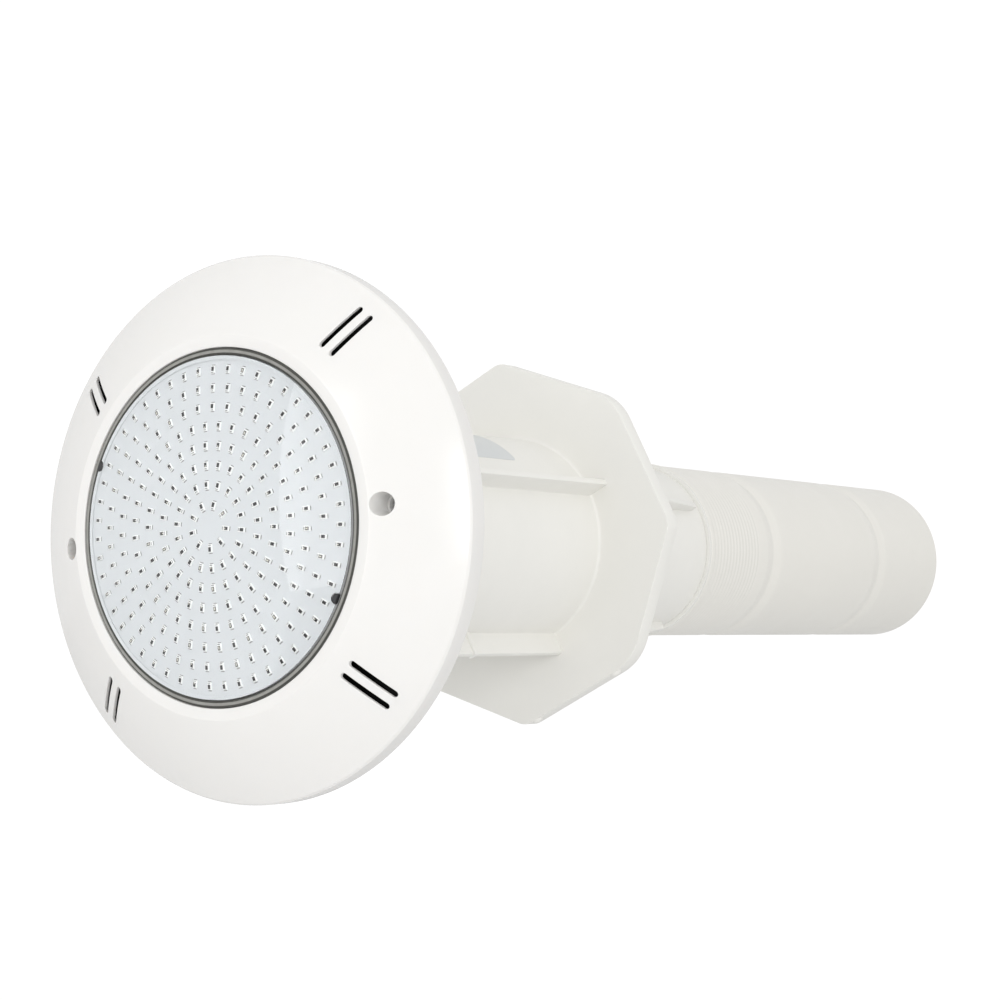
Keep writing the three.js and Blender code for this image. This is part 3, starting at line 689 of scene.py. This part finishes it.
def make_faceplate():
    outer = [(OPENING_RADIUS, FACE_Y, 0.5), (BEZEL_RADIUS, FACE_Y, 0.9)]
    outer += [(r, y) for r, y in face_arc(0, 40)[1:-1]]
    outer += [(RIM_RADIUS - RIM_TURN, RIM_EDGE_Y - 1, 0.9), (RIM_RADIUS, RIM_EDGE_Y, 0.6)]
    outer += [(RIM_RADIUS, RIM_BACK_Y, 0.4)]
    inner = [(RIM_RADIUS - WALL, RIM_BACK_Y, 0.4)] + face_arc(WALL, 20)[::-1]
    collar = [
        (OPENING_RADIUS + WALL, FACE_Y + WALL), (OPENING_RADIUS + WALL, COLLAR_BACK_Y, 0.3),
        (OPENING_RADIUS, COLLAR_BACK_Y, 0.3),
    ]
    plate = turned("faceplate_shell", filleted(outer + inner + collar))
    sunk = face_arc(0.8, 20)
    envelope = turned("envelope", [(0, FACE_Y + 0.8)] + sunk + [(RIM_RADIUS - 1.5, 0), (0, 0)])
    screws = (SCREW_CIRCLE, -SCREW_CIRCLE)
    posts = [rod("pillar", PILLAR_RADIUS, FACE_Y, PILLAR_BACK_Y, x, edge=0.3) for x in screws]
    for angle in EAR_ANGLES:
        post = rod("post", POST_RADIUS, FACE_Y, POST_BACK_Y, SCREW_CIRCLE, edge=0.3)
        posts.append(around(post, angle))
    bodies = join(posts[0], *posts[1:])
    join(plate, combine(bodies, [envelope], "INTERSECT"))

    cutters = []
    for x in screws:
        outline = round_outline(x, 0, WELL_RADIUS - 0.15)
        cutters.append(lipped_cutter("well", outline, WELL_FLOOR_Y, LIP))
        cutters.append(rod("bore", WELL_BORE, WELL_FLOOR_Y - 1, SEAT_Y, x, segments=SMALL))
        cutters.append(rod("way", SCREW_RADIUS + GAP, SEAT_Y - 1, 1, x, segments=SMALL))
    for angle in EAR_ANGLES:
        cutters.append(around(rod("pilot", 1.9, -19, -9, SCREW_CIRCLE, segments=SMALL), angle))
    for angle, shift in SLOT_PAIRS:
        behind = turned("behind", face_arc(SLOT_WALL, 16) + face_arc(WALL + 1, 16)[::-1])
        start, end = SLOT_INNER + shift - 2, SLOT_OUTER + shift + 2
        window = filleted([(x, z, 2) for x, z in slab(start, end, 6.5)])
        zone = around(extruded("zone", window, -30, 1), angle)
        cutters.append(combine(behind, [zone], "INTERSECT"))
        for side in (1, -1):
            cutters.append(lipped_cutter("slot", slot_outline(angle, shift, side), 1, LIP))
    cut(plate, *cutters)
    return finished(plate, "faceplate_plastic", ["faceplate"])


# ---- lens and its edge
def plug_place(obj, angle):
    return around(shifted(obj, LENS_RADIUS - 0.3), angle)


def make_lens():
    """The domed lens with its resin as one clear body, and its pale skirt round the board."""
    rise = LENS_RIM_Y - LENS_APEX_Y
    sphere = (LENS_RADIUS**2 + rise**2) / (2 * rise)
    back = BOARD_FRONT_Y - LED_HEIGHT - 0.2
    outline = dome(LENS_APEX_Y, sphere, LENS_RADIUS - 0.3, 40)
    lens = turned("lens_dome", outline + [(LENS_RADIUS, LENS_RIM_Y), (LENS_RADIUS, back), (0, back)])
    skirt_front, lip = back + 0.03, LENS_BORE - 0.7
    skirt = turned("lens_skirt", filleted([
        (lip, skirt_front), (LENS_RADIUS, skirt_front), (LENS_RADIUS, LENS_FOOT_Y),
        (HOUSING_RADIUS, LENS_FOOT_Y, 0.2), (HOUSING_RADIUS, LENS_BACK_Y, 0.2),
        (LENS_BORE, LENS_BACK_Y, 0.2), (LENS_BORE, BOARD_FRONT_Y - GAP), (lip, BOARD_FRONT_Y - GAP),
    ]))
    for piece in (lens, skirt):
        for angle in PLUGS.values():
            notch = rod("notch", PLUG_RADIUS + GAP, -40, BOARD_FRONT_Y, segments=SMALL)
            cut(piece, plug_place(notch, angle))
    finished(skirt, "lens_clear", body="lamp", look="board_white")
    return finished(lens, "lens_clear", ["lens", "front_resin"])


def make_plugs():
    for name, angle in PLUGS.items():
        back = BOARD_FRONT_Y - GAP
        plug = rod(name + "_rubber", PLUG_RADIUS, PLUG_FRONT_Y, back, segments=SMALL, edge=0.4)
        plug_place(plug, angle)
        inside = rod("inside", GASKET_INNER - GAP, -30, 0, segments=FINE)
        combine(plug, [inside], "INTERSECT")
        finished(plug, "plug_rubber", [name])


def make_gasket():
    """Ribbed rubber ring between the lens and the faceplate."""
    middle = (GASKET_INNER + GASKET_OUTER) / 2
    groove_y = FACE_Y + 0.7
    outline = filleted([
        (GASKET_INNER, groove_y, 0.1), (middle - 0.9, groove_y, 0.1), (middle - 0.65, FACE_Y, 0.25),
        (middle + 0.65, FACE_Y, 0.25), (middle + 0.9, groove_y, 0.1), (GASKET_OUTER, groove_y, 0.1),
        (GASKET_OUTER, GASKET_BACK_Y), (GASKET_INNER, GASKET_BACK_Y),
    ])
    return finished(turned("gasket_ring", outline), "gasket_grey", ["lens_gasket"])


# ---- LED board
def make_board():
    low, high = box_mm("led_board")
    board = turned("led_board_disc", filleted([
        (0, low.y), (BOARD_RADIUS, low.y, 0.2), (BOARD_RADIUS, high.y, 0.2), (0, high.y),
    ], closed=False))
    return finished(board, "board_white", ["led_board"])


def led_places():
    """Radius and angle of every LED package, ring by ring."""
    for ring, count in enumerate(LED_RINGS):
        for k in range(count):
            yield LED_FIRST_RADIUS + ring * LED_PITCH, radians(-90 + 360 * k / count)


def slab_mesh(along, across, length, width, back, front, inset):
    """Corners and faces of a thin plate with a chamfered front, off a package's centre."""
    verts = []
    for y, shrink in ((back, 0), ((back + front * 2) / 3, 0), (front, inset)):
        for sx, sz in ((-1, -1), (1, -1), (1, 1), (-1, 1)):
            verts.append((along + sx * (length / 2 - shrink), y, across + sz * (width / 2 - shrink)))
    faces = [[0, 1, 2, 3], [8, 9, 10, 11]]
    for level in (0, 4):
        for i in range(4):
            j = (i + 1) % 4
            faces.append([level + i, level + j, level + 4 + j, level + 4 + i])
    return verts, faces


def led_layer(name, slot, look, plates):
    """One mesh of plates on the packages. plates(index) gives slab_mesh's arguments for each."""
    verts, faces = [], []
    for index, (radius, angle) in enumerate(led_places()):
        for plate in plates(index):
            local, local_faces = slab_mesh(*plate)
            start = len(verts)
            for x, y, z in local:
                x, z = spun(radius + x, z, angle)
                verts.append((x, y, z))
            faces += [[start + i for i in face] for face in local_faces]
    layer = mesh_object(name, verts, faces)
    return finished(layer, slot, body="lamp", look=look)


def make_leds():
    board = BOARD_FRONT_Y
    top = board - LED_HEIGHT
    kinds = random.Random(7)
    kind_of = [kinds.choice(LED_KINDS) for _ in led_places()]
    window = (0.4, 0, 1.85, 1.3, top + 0.05, top - 0.05, 0.05)
    inner_line = (-1.15, 0, 0.24, 1.35, top + 0.05, top - 0.03, 0.04)
    notch = (-0.15, 0, 0.7, 0.5, top - 0.04, top - 0.1, 0.04)
    pale = (0.35, 0, 1.2, 0.65, top - 0.04, top - 0.1, 0.04)
    led_layer("led_packages", "led_package", None, lambda i: [
        (0, 0, LED_LENGTH, LED_WIDTH, board - 0.01, top, 0.25),
    ])
    off = LED_LENGTH / 2 + 0.25
    led_layer("led_pads", "steel", "led_pad", lambda i: [
        (x, 0, 0.3, 1.7, board - 0.01, board - 0.12, 0.05) for x in (off, -off)
    ])
    led_layer("led_windows", "led_die", None, lambda i: [window, inner_line])
    cups = {0: [], 1: [notch], 2: [pale]}
    led_layer("led_cups", "led_package", "led_cup", lambda i: cups[kind_of[i]])


# ---- lamp housing
def make_housing():
    front, boss_back = housing_low.y, housing_high.y
    boss, inner, bore, boss_wall = 24, HOUSING_RADIUS - 3.4, 8.2, 4
    boss_front = boss_back - boss_wall
    shell = turned("housing_shell", filleted([
        (inner, front, 0.3), (HOUSING_RADIUS, front, 0.3), (HOUSING_RADIUS, FLOOR_Y, 1.2),
        (boss, FLOOR_Y, 1.5), (boss, boss_back, 1), (bore, boss_back, 0.3), (bore, boss_front, 0.3),
        (boss - boss_wall, boss_front, 0.8), (boss - boss_wall, FLOOR_Y - WALL, 0.8),
        (inner, FLOOR_Y - WALL, 1),
    ]))
    extras = []
    for angle in EAR_ANGLES:
        arm = extruded("arm", slab(HOUSING_RADIUS - 3, SCREW_CIRCLE, EAR_RADIUS), EAR_FRONT_Y, FLOOR_Y)
        ear = rod("ear", EAR_RADIUS, EAR_FRONT_Y, FLOOR_Y, SCREW_CIRCLE, edge=0.3)
        extras += [around(arm, angle), around(ear, angle)]
    for angle in range(30, 390, 60):
        outline = filleted(slab(boss - 1, HOUSING_RADIUS - 1, 1))
        extras.append(around(extruded("rib", outline, FLOOR_Y - 0.5, -1.5, bevel=0.35), angle))
    join(shell, *extras)
    cut(shell, *[around(rod("hole", 2.1, -10, 0, SCREW_CIRCLE, segments=SMALL), a) for a in EAR_ANGLES])
    return finished(shell, "housing_plastic", ["lamp_housing"])


def cross_recess(width, thickness, y0, y1):
    """The cutter of a cross recess: two crossed blades."""
    blade = slab(-width / 2, width / 2, thickness / 2)
    across = extruded("blade", [(z, x) for x, z in blade], y0, y1)
    return combine(extruded("blade", blade, y0, y1), [across], "UNION")


def make_housing_screws():
    for i, angle in enumerate(EAR_ANGLES, 1):
        seat = FLOOR_Y + GAP
        outline = [(0, -16), (1.1, -14.6), (1.5, -14)] + stretch(1.5, -13.9, seat - 0.4, 0.2)
        outline += filleted([
            (1.5, seat), (3.4, seat, 0.2), (3.3, -3.8, 1.0), (2, -2.5, 1.2), (0, -2.4),
        ], closed=False)
        screw = turned(f"housing_screw_{i}_steel", outline, SMALL, thread(1.5, 0.3, 1.1))
        cut(screw, cross_recess(3.6, 0.9, -4, 0))
        around(shifted(screw, SCREW_CIRCLE), angle)
        finished(screw, "steel", [f"housing_screw_{i}"])


# ---- fixing screws
def make_fixing_screws():
    """M4 cap screws with a real thread, their washers and their brass inserts."""
    for side, word in ((1, "right"), (-1, "left")):
        low, high = box_mm(f"fixing_screw_{word}")
        back = low.y + 4
        outline = filleted([
            (0, low.y), (3.5, low.y, 0.4), (3.5, back, 0.1), (SCREW_RADIUS, back, 0.1),
            (SCREW_RADIUS, back + 0.6),
        ], closed=False)
        outline += stretch(SCREW_RADIUS, back + 0.7, high.y - 0.7, 0.12)
        outline += [(SCREW_RADIUS - 0.6, high.y), (0, high.y)]
        knurl = thread(SCREW_RADIUS, 0.38, 0.7)
        screw = turned(f"fixing_screw_{word}_steel", outline, SMALL, knurl)
        socket = hexagon("socket", 3, low.y - 1, low.y + 2, 0.1)
        cut(screw, socket)
        finished(shifted(screw, side * SCREW_CIRCLE), "steel", [f"fixing_screw_{word}"])

        low, high = box_mm(f"screw_washer_{word}")
        hole, edge = SCREW_RADIUS + GAP, 3.4
        washer = turned(f"screw_washer_{word}_rubber", filleted([
            (hole, low.y, 0.15), (edge, low.y, 0.2), (edge, high.y, 0.2), (hole, high.y, 0.15),
        ]), SMALL)
        finished(shifted(washer, side * SCREW_CIRCLE), "plug_rubber", [f"screw_washer_{word}"])

        low, high = box_mm(f"bracket_insert_{word}")
        bore, outer, groove = SCREW_RADIUS + GAP, 4, 3.4
        sides = []
        for start, end in ((low.y + 0.3, 4.5), (6.3, 8.7), (10.5, high.y - 0.3)):
            sides += stretch(outer, start, end, 0.6) + [(groove, end + 0.4), (groove, end + 1.4)]
        outline = [(bore, low.y), (groove, low.y)] + sides[:-2] + [(groove, high.y), (bore, high.y)]
        insert = turned(f"bracket_insert_{word}_brass", outline, MEDIUM * 2,
                        lambda a, r, y: -0.25 * abs(sin(a * 24)) if r > 3.9 else 0)
        finished(shifted(insert, side * SCREW_CIRCLE), "brass", [f"bracket_insert_{word}"])


# ---- cable glands
def make_gland(prefix, wall_y, bore, way, stub_front):
    """A cable gland along +Y. All its sizes follow the thread's radius, the way and the wall."""
    front = wall_y + GAP
    washer_back = front + 1.5
    hex_front = washer_back + GAP
    hex_back = hex_front + 0.32 * bore + 2
    neck, neck_end = bore + 0.6, hex_back + 0.45 * bore + 4.5
    flats, pitch, depth, wall = 2 * bore + 6, 1.5, 0.7, 1.2

    hole, rim = bore + GAP, bore + 2.8
    washer = turned(prefix + "_washer_rubber", filleted([
        (hole, front, 0.3), (rim, front, 0.5), (rim, washer_back, 0.5), (hole, washer_back, 0.3),
    ]), MEDIUM)
    finished(washer, "plug_rubber", [prefix + "_washer"])

    outline = [(0, stub_front), (bore - 0.8, stub_front)]
    outline += stretch(bore, stub_front + 0.8, hex_front + 1, 0.25) + [(0, hex_front + 1)]
    stub = turned(prefix + "_body_moulded", outline, MEDIUM, thread(bore, depth, pitch))
    outline = [(0, hex_back - 1)] + stretch(neck, hex_back - 1, neck_end - 0.6, 0.25)
    outline += [(bore, neck_end), (0, neck_end)]
    threaded = turned("neck", outline, MEDIUM, thread(neck, depth, pitch))
    join(stub, hexagon("hexagon", flats, hex_front, hex_back), threaded)
    seat = rod("seat", bore - wall, hex_back, neck_end + 1)
    cut(stub, rod("bore", way + wall, stub_front - 1, neck_end + 1), seat)
    finished(stub, "gland_plastic", [prefix + "_body"])

    nose, sleeve = neck_end + 2.4, bore - wall - GAP
    grommet = turned(prefix + "_grommet_rubber", filleted([
        (way, hex_back + GAP, 0.3), (sleeve, hex_back + GAP, 0.3), (sleeve, neck_end, 0.4),
        (way + 1.3, nose, 0.4), (way, nose, 0.3),
    ]), MEDIUM)
    finished(grommet, "plug_rubber", [prefix + "_grommet"])

    front, back = nose + GAP, nose + GAP + 0.8
    slip = turned(prefix + "_slip_ring_pale", filleted([
        (way + 0.2, front, 0.15), (way + 2, front, 0.2), (way + 2, back, 0.2), (way + 0.2, back, 0.15),
    ]), MEDIUM)
    finished(slip, "pale_seal", [prefix + "_slip_ring"])

    nut_front, shoulder, crown_front, side = hex_back + 1.2, neck_end + 1, back + GAP, bore + 2
    end = crown_front + 2.6
    nut = hexagon(prefix + "_nut_moulded", flats - 1.6, nut_front, shoulder)
    crown = turned("crown", filleted([
        (0, nut_front + 1), (side, nut_front + 1), (side, shoulder, 1.0), (way + 3, end, 0.8), (0, end),
    ], closed=False), MEDIUM)
    join(nut, crown)
    outline = [(0, neck_end), (bore - 0.6, neck_end), (way + 2.4, crown_front), (0, crown_front)]
    cutters = [rod("thread", neck + GAP, nut_front - 1, neck_end + GAP), turned("chamber", outline, MEDIUM),
               rod("way", way + 0.2, nut_front, end + 1)]
    cut(nut, *cutters)
    finished(nut, "gland_plastic", [prefix + "_nut"])


# ---- niche
def make_bracket():
    front, back, rim = niche_low.y, bracket_high.y, bracket_high.x
    hub, plate_back, lip, lip_back, hub_back = BARREL_RADIUS + GAP, front + 2.4, 95, 10, 16
    upstand, upstand_front = rim - 1.6, bracket_low.y
    ring = turned("bracket_ring", filleted([
        (hub, front, 0.3), (upstand, front, 0.3), (upstand, upstand_front, 0.3), (rim, upstand_front, 0.3),
        (rim, plate_back, 0.5), (lip, plate_back, 0.6), (lip, lip_back, 0.5), (lip - WALL, lip_back, 0.5),
        (lip - WALL, plate_back, 0.6), (hub + WALL, plate_back, 0.8), (hub + WALL, hub_back, 0.5),
        (hub, hub_back, 0.5),
    ]))
    extras = [rod("post", 7.5, front, back, side * SCREW_CIRCLE, edge=0.4) for side in (1, -1)]
    for angle in (45, 90, 135, 225, 270, 315):
        rib = extruded("rib", slab(hub + 1, lip - 1, 1.5), plate_back - 1, lip_back - 1, bevel=0.4)
        extras.append(around(rib, angle))
    join(ring, *extras)
    bores = [rod("bore", 4 + GAP, -1, 14, side * SCREW_CIRCLE, segments=SMALL) for side in (1, -1)]
    cut(ring, *bores)
    # The near-black bracket_plastic is painted shade seen through the faceplate's slots.
    return finished(ring, "bracket_plastic", ["niche_bracket"])


def octagon():
    """Flange outline with a corner on each axis. The corners between the axes are rounder."""
    corner = FLANGE_APOTHEM / cos(pi / 8)
    points = []
    for i in range(8):
        radius = 26 if i % 2 else 10
        points.append((corner * cos(i * pi / 4), corner * sin(i * pi / 4), radius))
    return filleted(points, steps=10)


def fin_outline(inner, outer, thickness, root):
    """Section of a radial fin, flared where it meets the barrel and rounded at its outer edge."""
    half, foot = thickness / 2, BARREL_RADIUS - 0.2
    flare = [(inner, half + root), (foot, half + root)]
    for k in range(1, 6):
        a = radians(90) * k / 6
        flare.append((foot + root * (1 - cos(a)), half + root * (1 - sin(a))))
    straight = BARREL_RADIUS + root
    edge = filleted([
        (inner, 0), (straight, half), (outer, half, 0.45), (outer, -half, 0.45), (straight, -half),
    ])[1:]
    return flare + edge + [(x, -z) for x, z in reversed(flare)]


def gusset(angle):
    """Tapered rib behind the flange, deepest at the flange and blunt at its far end."""
    half = FIN_THICKNESS / 2
    inner, near, far, length = NECK_RADIUS - 1.5, 57.5, 47.4, 97
    outline = [(inner, -1), (near, -1), (far, length), (inner, length)]
    verts = [(r, FLANGE_BACK_Y + y, z) for z in (-half, half) for r, y in outline]
    faces = [[0, 1, 2, 3], [4, 5, 6, 7]] + [[i, (i + 1) % 4, 4 + (i + 1) % 4, 4 + i] for i in range(4)]
    plate = mesh_object("gusset", verts, faces)
    return around(reworked(plate, lambda work: bevelled(work, list(work.edges), 0.5)), angle)


def gate_mark(x, z, y, angle):
    """A small flattened moulding mark on the flange's edge."""
    bump = bmesh.new()
    bmesh.ops.create_uvsphere(bump, u_segments=20, v_segments=12, radius=1)
    mark = mesh_from(bump, "mark")
    mark.data.transform(Matrix.Diagonal((1.9 * MM, 2.2 * MM, 3.2 * MM, 1)))
    return shifted(around(mark, angle), x, y, z)


def make_niche():
    """Barrel, fins, flange and neck in one moulding, with the neck seal's groove in its spigot."""
    front, end = niche_low.y, niche_high.y
    inside_flange, spigot = BARREL_RADIUS + 8, TUBE_BORE - 0.5
    groove, groove_front, groove_back = TUBE_BORE - 1.6, 358, 361
    body = turned("niche_moulding", filleted([
        (0, front), (BARREL_RADIUS, front, 0.6), (BARREL_RADIUS, FLANGE_FRONT_Y, 1.6),
        (inside_flange, FLANGE_FRONT_Y), (inside_flange, FLANGE_BACK_Y), (NECK_RADIUS, FLANGE_BACK_Y, 1.6),
        (NECK_RADIUS, NECK_SHOULDER_Y, 0.5), (spigot, NECK_SHOULDER_Y), (spigot, groove_front),
        (groove, groove_front), (groove, groove_back), (spigot, groove_back), (spigot, end, 0.5), (0, end),
    ], closed=False, steps=6))
    extras = [extruded("flange", octagon(), FLANGE_FRONT_Y, FLANGE_BACK_Y, bevel=0.45)]
    for angle in FIN_ANGLES:
        outline = fin_outline(BARREL_RADIUS - 2, FIN_OUTER, FIN_THICKNESS, 0.8)
        extras.append(around(extruded("fin", outline, 16 + GAP, FLANGE_FRONT_Y + 1, bevel=0.3), angle))
        extras.append(gusset(angle))
    root, crest, half = BARREL_RADIUS - 1, FIN_OUTER + 0.6, 2.6
    clip = filleted([(root, -half), (crest, -half, 0.8), (crest, half, 0.8), (root, half)])
    extras.append(around(extruded("clip", clip, *CLIP_Y, bevel=0.5), LOW_SIDE))
    for along in GATE_MARKS:
        x, z = spun(FLANGE_APOTHEM - 0.5, along, radians(LOW_SIDE))
        extras.append(gate_mark(x, z, FLANGE_FRONT_Y + 2.2, LOW_SIDE))
    join(body, *extras)
    bore = turned("bore", filleted([
        (0, front - 1), (BARREL_BORE, front - 1), (BARREL_BORE, FLANGE_FRONT_Y, 1),
        (NECK_BORE, FLANGE_FRONT_Y + 6, 1), (NECK_BORE, end + 1), (0, end + 1),
    ], closed=False))
    cut(body, bore)
    return finished(body, "niche_plastic", ["niche_body"])


def make_label():
    """A blank film on the barrel's top, with rounded corners."""
    (start, end), corner, columns = LABEL_Y, 2.5, 48
    inner, outer = BARREL_RADIUS + 0.02, BARREL_RADIUS + 0.14
    first, last = (radians(angle) * outer for angle in LABEL_ANGLES)
    flat = filleted([(x, y, corner) for x, y in ((first, start), (last, start), (last, end), (first, end))])
    work = bmesh.new()
    for arc_length, y in flat:
        work.verts.new((arc_length, 0, y))
    work.faces.new(work.verts)
    for k in range(1, columns):
        x = first + (last - first) * k / columns
        geometry = work.verts[:] + work.edges[:] + work.faces[:]
        bmesh.ops.bisect_plane(work, geom=geometry, plane_co=(x, 0, 0), plane_no=(1, 0, 0))
    grown = bmesh.ops.extrude_face_region(work, geom=work.faces[:])
    for v in grown["geom"]:
        if isinstance(v, bmesh.types.BMVert):
            v.co.y = 1
    for v in work.verts:
        angle, y = v.co.x / outer, v.co.z
        radius = outer if v.co.y > 0.5 else inner
        v.co = Vector((radius * cos(angle), y, radius * sin(angle))) * MM
    face_out(work)
    return finished(mesh_from(work, "label"), "label_film", body="niche", sharp=40)


# ---- extension tube
def tube_outside():
    """Outer outline of the tube from its mouth to its end: bead, fine rings, two waists."""
    mouth, end = tube_low.y, tube_high.y
    bead, waist = tube_high.x, TUBE_RADIUS - WAIST_DEPTH
    points = filleted([
        (TUBE_BORE, mouth), (bead, mouth, 0.6), (bead, mouth + 3, 0.8), (TUBE_RADIUS, mouth + 4.5, 0.6),
        (TUBE_RADIUS, mouth + 6),
    ], closed=False)
    for i in range(RING_COUNT):
        start = mouth + 7 + i * RING_PITCH
        for k in range(8):
            depth = RING_DEPTH * sin(pi * k / 8) ** 2
            points.append((TUBE_RADIUS - depth, start + RING_PITCH * k / 8))
    for start, bottom, back in WAISTS:
        points += filleted([
            (TUBE_RADIUS, start - 2), (TUBE_RADIUS, start, 12), (waist, bottom, 6), (TUBE_RADIUS, back, 12),
            (TUBE_RADIUS, back + 3),
        ], closed=False, steps=6)
    return points + [(TUBE_RADIUS, end - 0.5), (TUBE_RADIUS - 0.4, end)]


def make_tube():
    end = tube_high.y
    tube = turned("tube_shell", tube_outside() + [(TUBE_BORE + 0.3, end), (TUBE_BORE, end - 0.4)])
    finished(tube, "tube_plastic", ["extension_tube"])
    low, high = box_mm("tube_seal")
    front, back, bore = low.y - SQUEEZE, high.y + SQUEEZE, TUBE_BORE + 0.1
    seal = turned("tube_seal_ring", filleted([
        (bore, front), (high.x, front, 0.1), (high.x, back, 0.1), (bore, back),
    ]))
    finished(seal, "pale_seal", ["tube_seal"])
    low, high = box_mm("neck_seal")
    middle, inner, shoulder = (low.y + high.y) / 2, TUBE_BORE - 1.45, high.x - 0.4
    ring = turned("neck_seal_ring", filleted([
        (inner, low.y, 0.3), (shoulder, low.y, 0.4), (high.x, middle, 0.5), (shoulder, high.y, 0.4),
        (inner, high.y, 0.3),
    ]))
    finished(ring, "plug_rubber", ["neck_seal"])


def make_rear_cap(thread_radius):
    outer, front, back, hole = TUBE_BORE - GAP, cap_low.y, cap_high.y, thread_radius + GAP
    plate_front, skirt = back - 4, outer - 3
    cap = turned("rear_cap_moulded", filleted([
        (hole, plate_front, 0.3), (skirt, plate_front, 0.8), (skirt, front, 0.5), (outer, front, 0.5),
        (outer, back, 0.8), (hole, back, 0.3),
    ]))
    finished(cap, "niche_plastic", ["rear_cap"])
    low, high = box_mm("conduit_gland_locknut")
    nut = hexagon("conduit_gland_locknut_moulded", LOCKNUT_FLATS, low.y, high.y)
    cut(nut, rod("hole", hole, low.y - 1, high.y + 1))
    finished(nut, "gland_plastic", ["conduit_gland_locknut"])


# ---- carried-over CAD nodes
def dress_cad_nodes():
    """Gives every CAD node still shown the material of its slot in the record."""
    for part in frame["record"]["subparts"]:
        node = frame["nodes"][part["node"]]
        if node.hide_render:
            continue
        node.data.materials.clear()
        node.data.materials.append(MATERIALS[part["material_slot"]])
        node.data.set_sharp_from_angle(angle=radians(32))


# ---- camera, lights and floor
CAMERA_M = Vector((0.6494, -0.7709, -0.0985))
CAMERA_AIM = Vector((-0.55916, 0.82268, 0.10263))
CAMERA_UP = Vector((0.11650, -0.04460, 0.99219))
LENS_MM = 86.4


def make_camera():
    data = bpy.data.cameras.new("camera")
    data.lens = LENS_MM
    data.clip_start, data.clip_end = 0.01, 100
    camera = linked("camera", data)
    back = -CAMERA_AIM.normalized()
    right = CAMERA_UP.cross(back).normalized()
    up = back.cross(right)
    camera.matrix_world = Matrix.Translation(CAMERA_M) @ Matrix((right, up, back)).transposed().to_4x4()
    bpy.context.scene.camera = camera


def area_light(name, place_m, aim_m, size_m, watts):
    data = bpy.data.lights.new(name, "AREA")
    data.shape = "RECTANGLE"
    data.size, data.size_y = size_m
    data.energy = watts
    light = linked(name, data)
    light.location = place_m
    light.rotation_mode = "QUATERNION"
    light.rotation_quaternion = (Vector(aim_m) - Vector(place_m)).to_track_quat("-Z", "Y")
    light.visible_camera = False
    return light


WHITE = (1, 1, 1, 1)
AMBIENT = 0.82
SHOWN_WHITE = 1.05
FLOOR_ALBEDO = 0.82
SOFTBOX_M = (1.02, 2.6)
SOFTBOX_PLACE_M = (-0.25, -2.39, 0.3)
SOFTBOX_RADIANCE = 1.8
KEY_M = (1.4, 1.4)
KEY_PLACE_M = (2.02, -1.72, 0.2)
KEY_WATTS = 23


def make_world():
    """White surroundings: plain white to the camera, and a little less than that as light."""
    world = bpy.data.worlds.new("studio")
    bpy.context.scene.world = world
    world.use_nodes = True
    tree = world.node_tree
    ambient = with_sockets(tree.nodes["Background"], Color=WHITE, Strength=AMBIENT)
    shown = add_node(tree, "Background", Color=WHITE, Strength=SHOWN_WHITE).outputs["Background"]
    switch_by_ray(tree, "Is Camera Ray", ambient.outputs["Background"], shown, "World Output")


def make_floor():
    """A plain pale floor, well below the light. The camera sees it white, as the surroundings are."""
    side, depth = 30, -0.45
    mesh = bpy.data.meshes.new("floor")
    corners = [(x * side, y * side, depth) for x, y in ((-1, -1), (1, -1), (1, 1), (-1, 1))]
    mesh.from_pydata(corners, [], [(0, 1, 2, 3)])
    floor = linked("floor", mesh)
    material = bpy.data.materials.new("floor")
    material.use_nodes = True
    tree = material.node_tree
    grey = (FLOOR_ALBEDO, FLOOR_ALBEDO, FLOOR_ALBEDO, 1)
    matte = with_sockets(tree.nodes["Principled BSDF"], Base_Color=grey, Roughness=0.9)
    shown = add_node(tree, "Emission", Strength=SHOWN_WHITE).outputs["Emission"]
    switch_by_ray(tree, "Is Camera Ray", matte.outputs["BSDF"], shown, "Material Output")
    mesh.materials.append(material)


def make_studio():
    bpy.context.scene.view_settings.view_transform = "Standard"
    make_world()
    make_floor()
    softbox_watts = SOFTBOX_RADIANCE * pi * SOFTBOX_M[0] * SOFTBOX_M[1]
    area_light("softbox", SOFTBOX_PLACE_M, (0, 0, 0), SOFTBOX_M, softbox_watts)
    area_light("key", KEY_PLACE_M, (0, 0.1, 0), KEY_M, KEY_WATTS)


# ---- everything
make_materials()
make_camera()
make_studio()
make_faceplate()
make_lens()
make_plugs()
make_gasket()
make_board()
make_leds()
make_housing()
make_housing_screws()
make_fixing_screws()
make_gland("lamp_gland", 12, 7.9, 3.9, 5)
make_bracket()
make_niche()
make_label()
make_tube()
make_rear_cap(CONDUIT_THREAD)
make_gland("conduit_gland", cap_high.y, CONDUIT_THREAD, 7, cap_high.y - 12)
dress_cad_nodes()

bpy.context.view_layer.update()
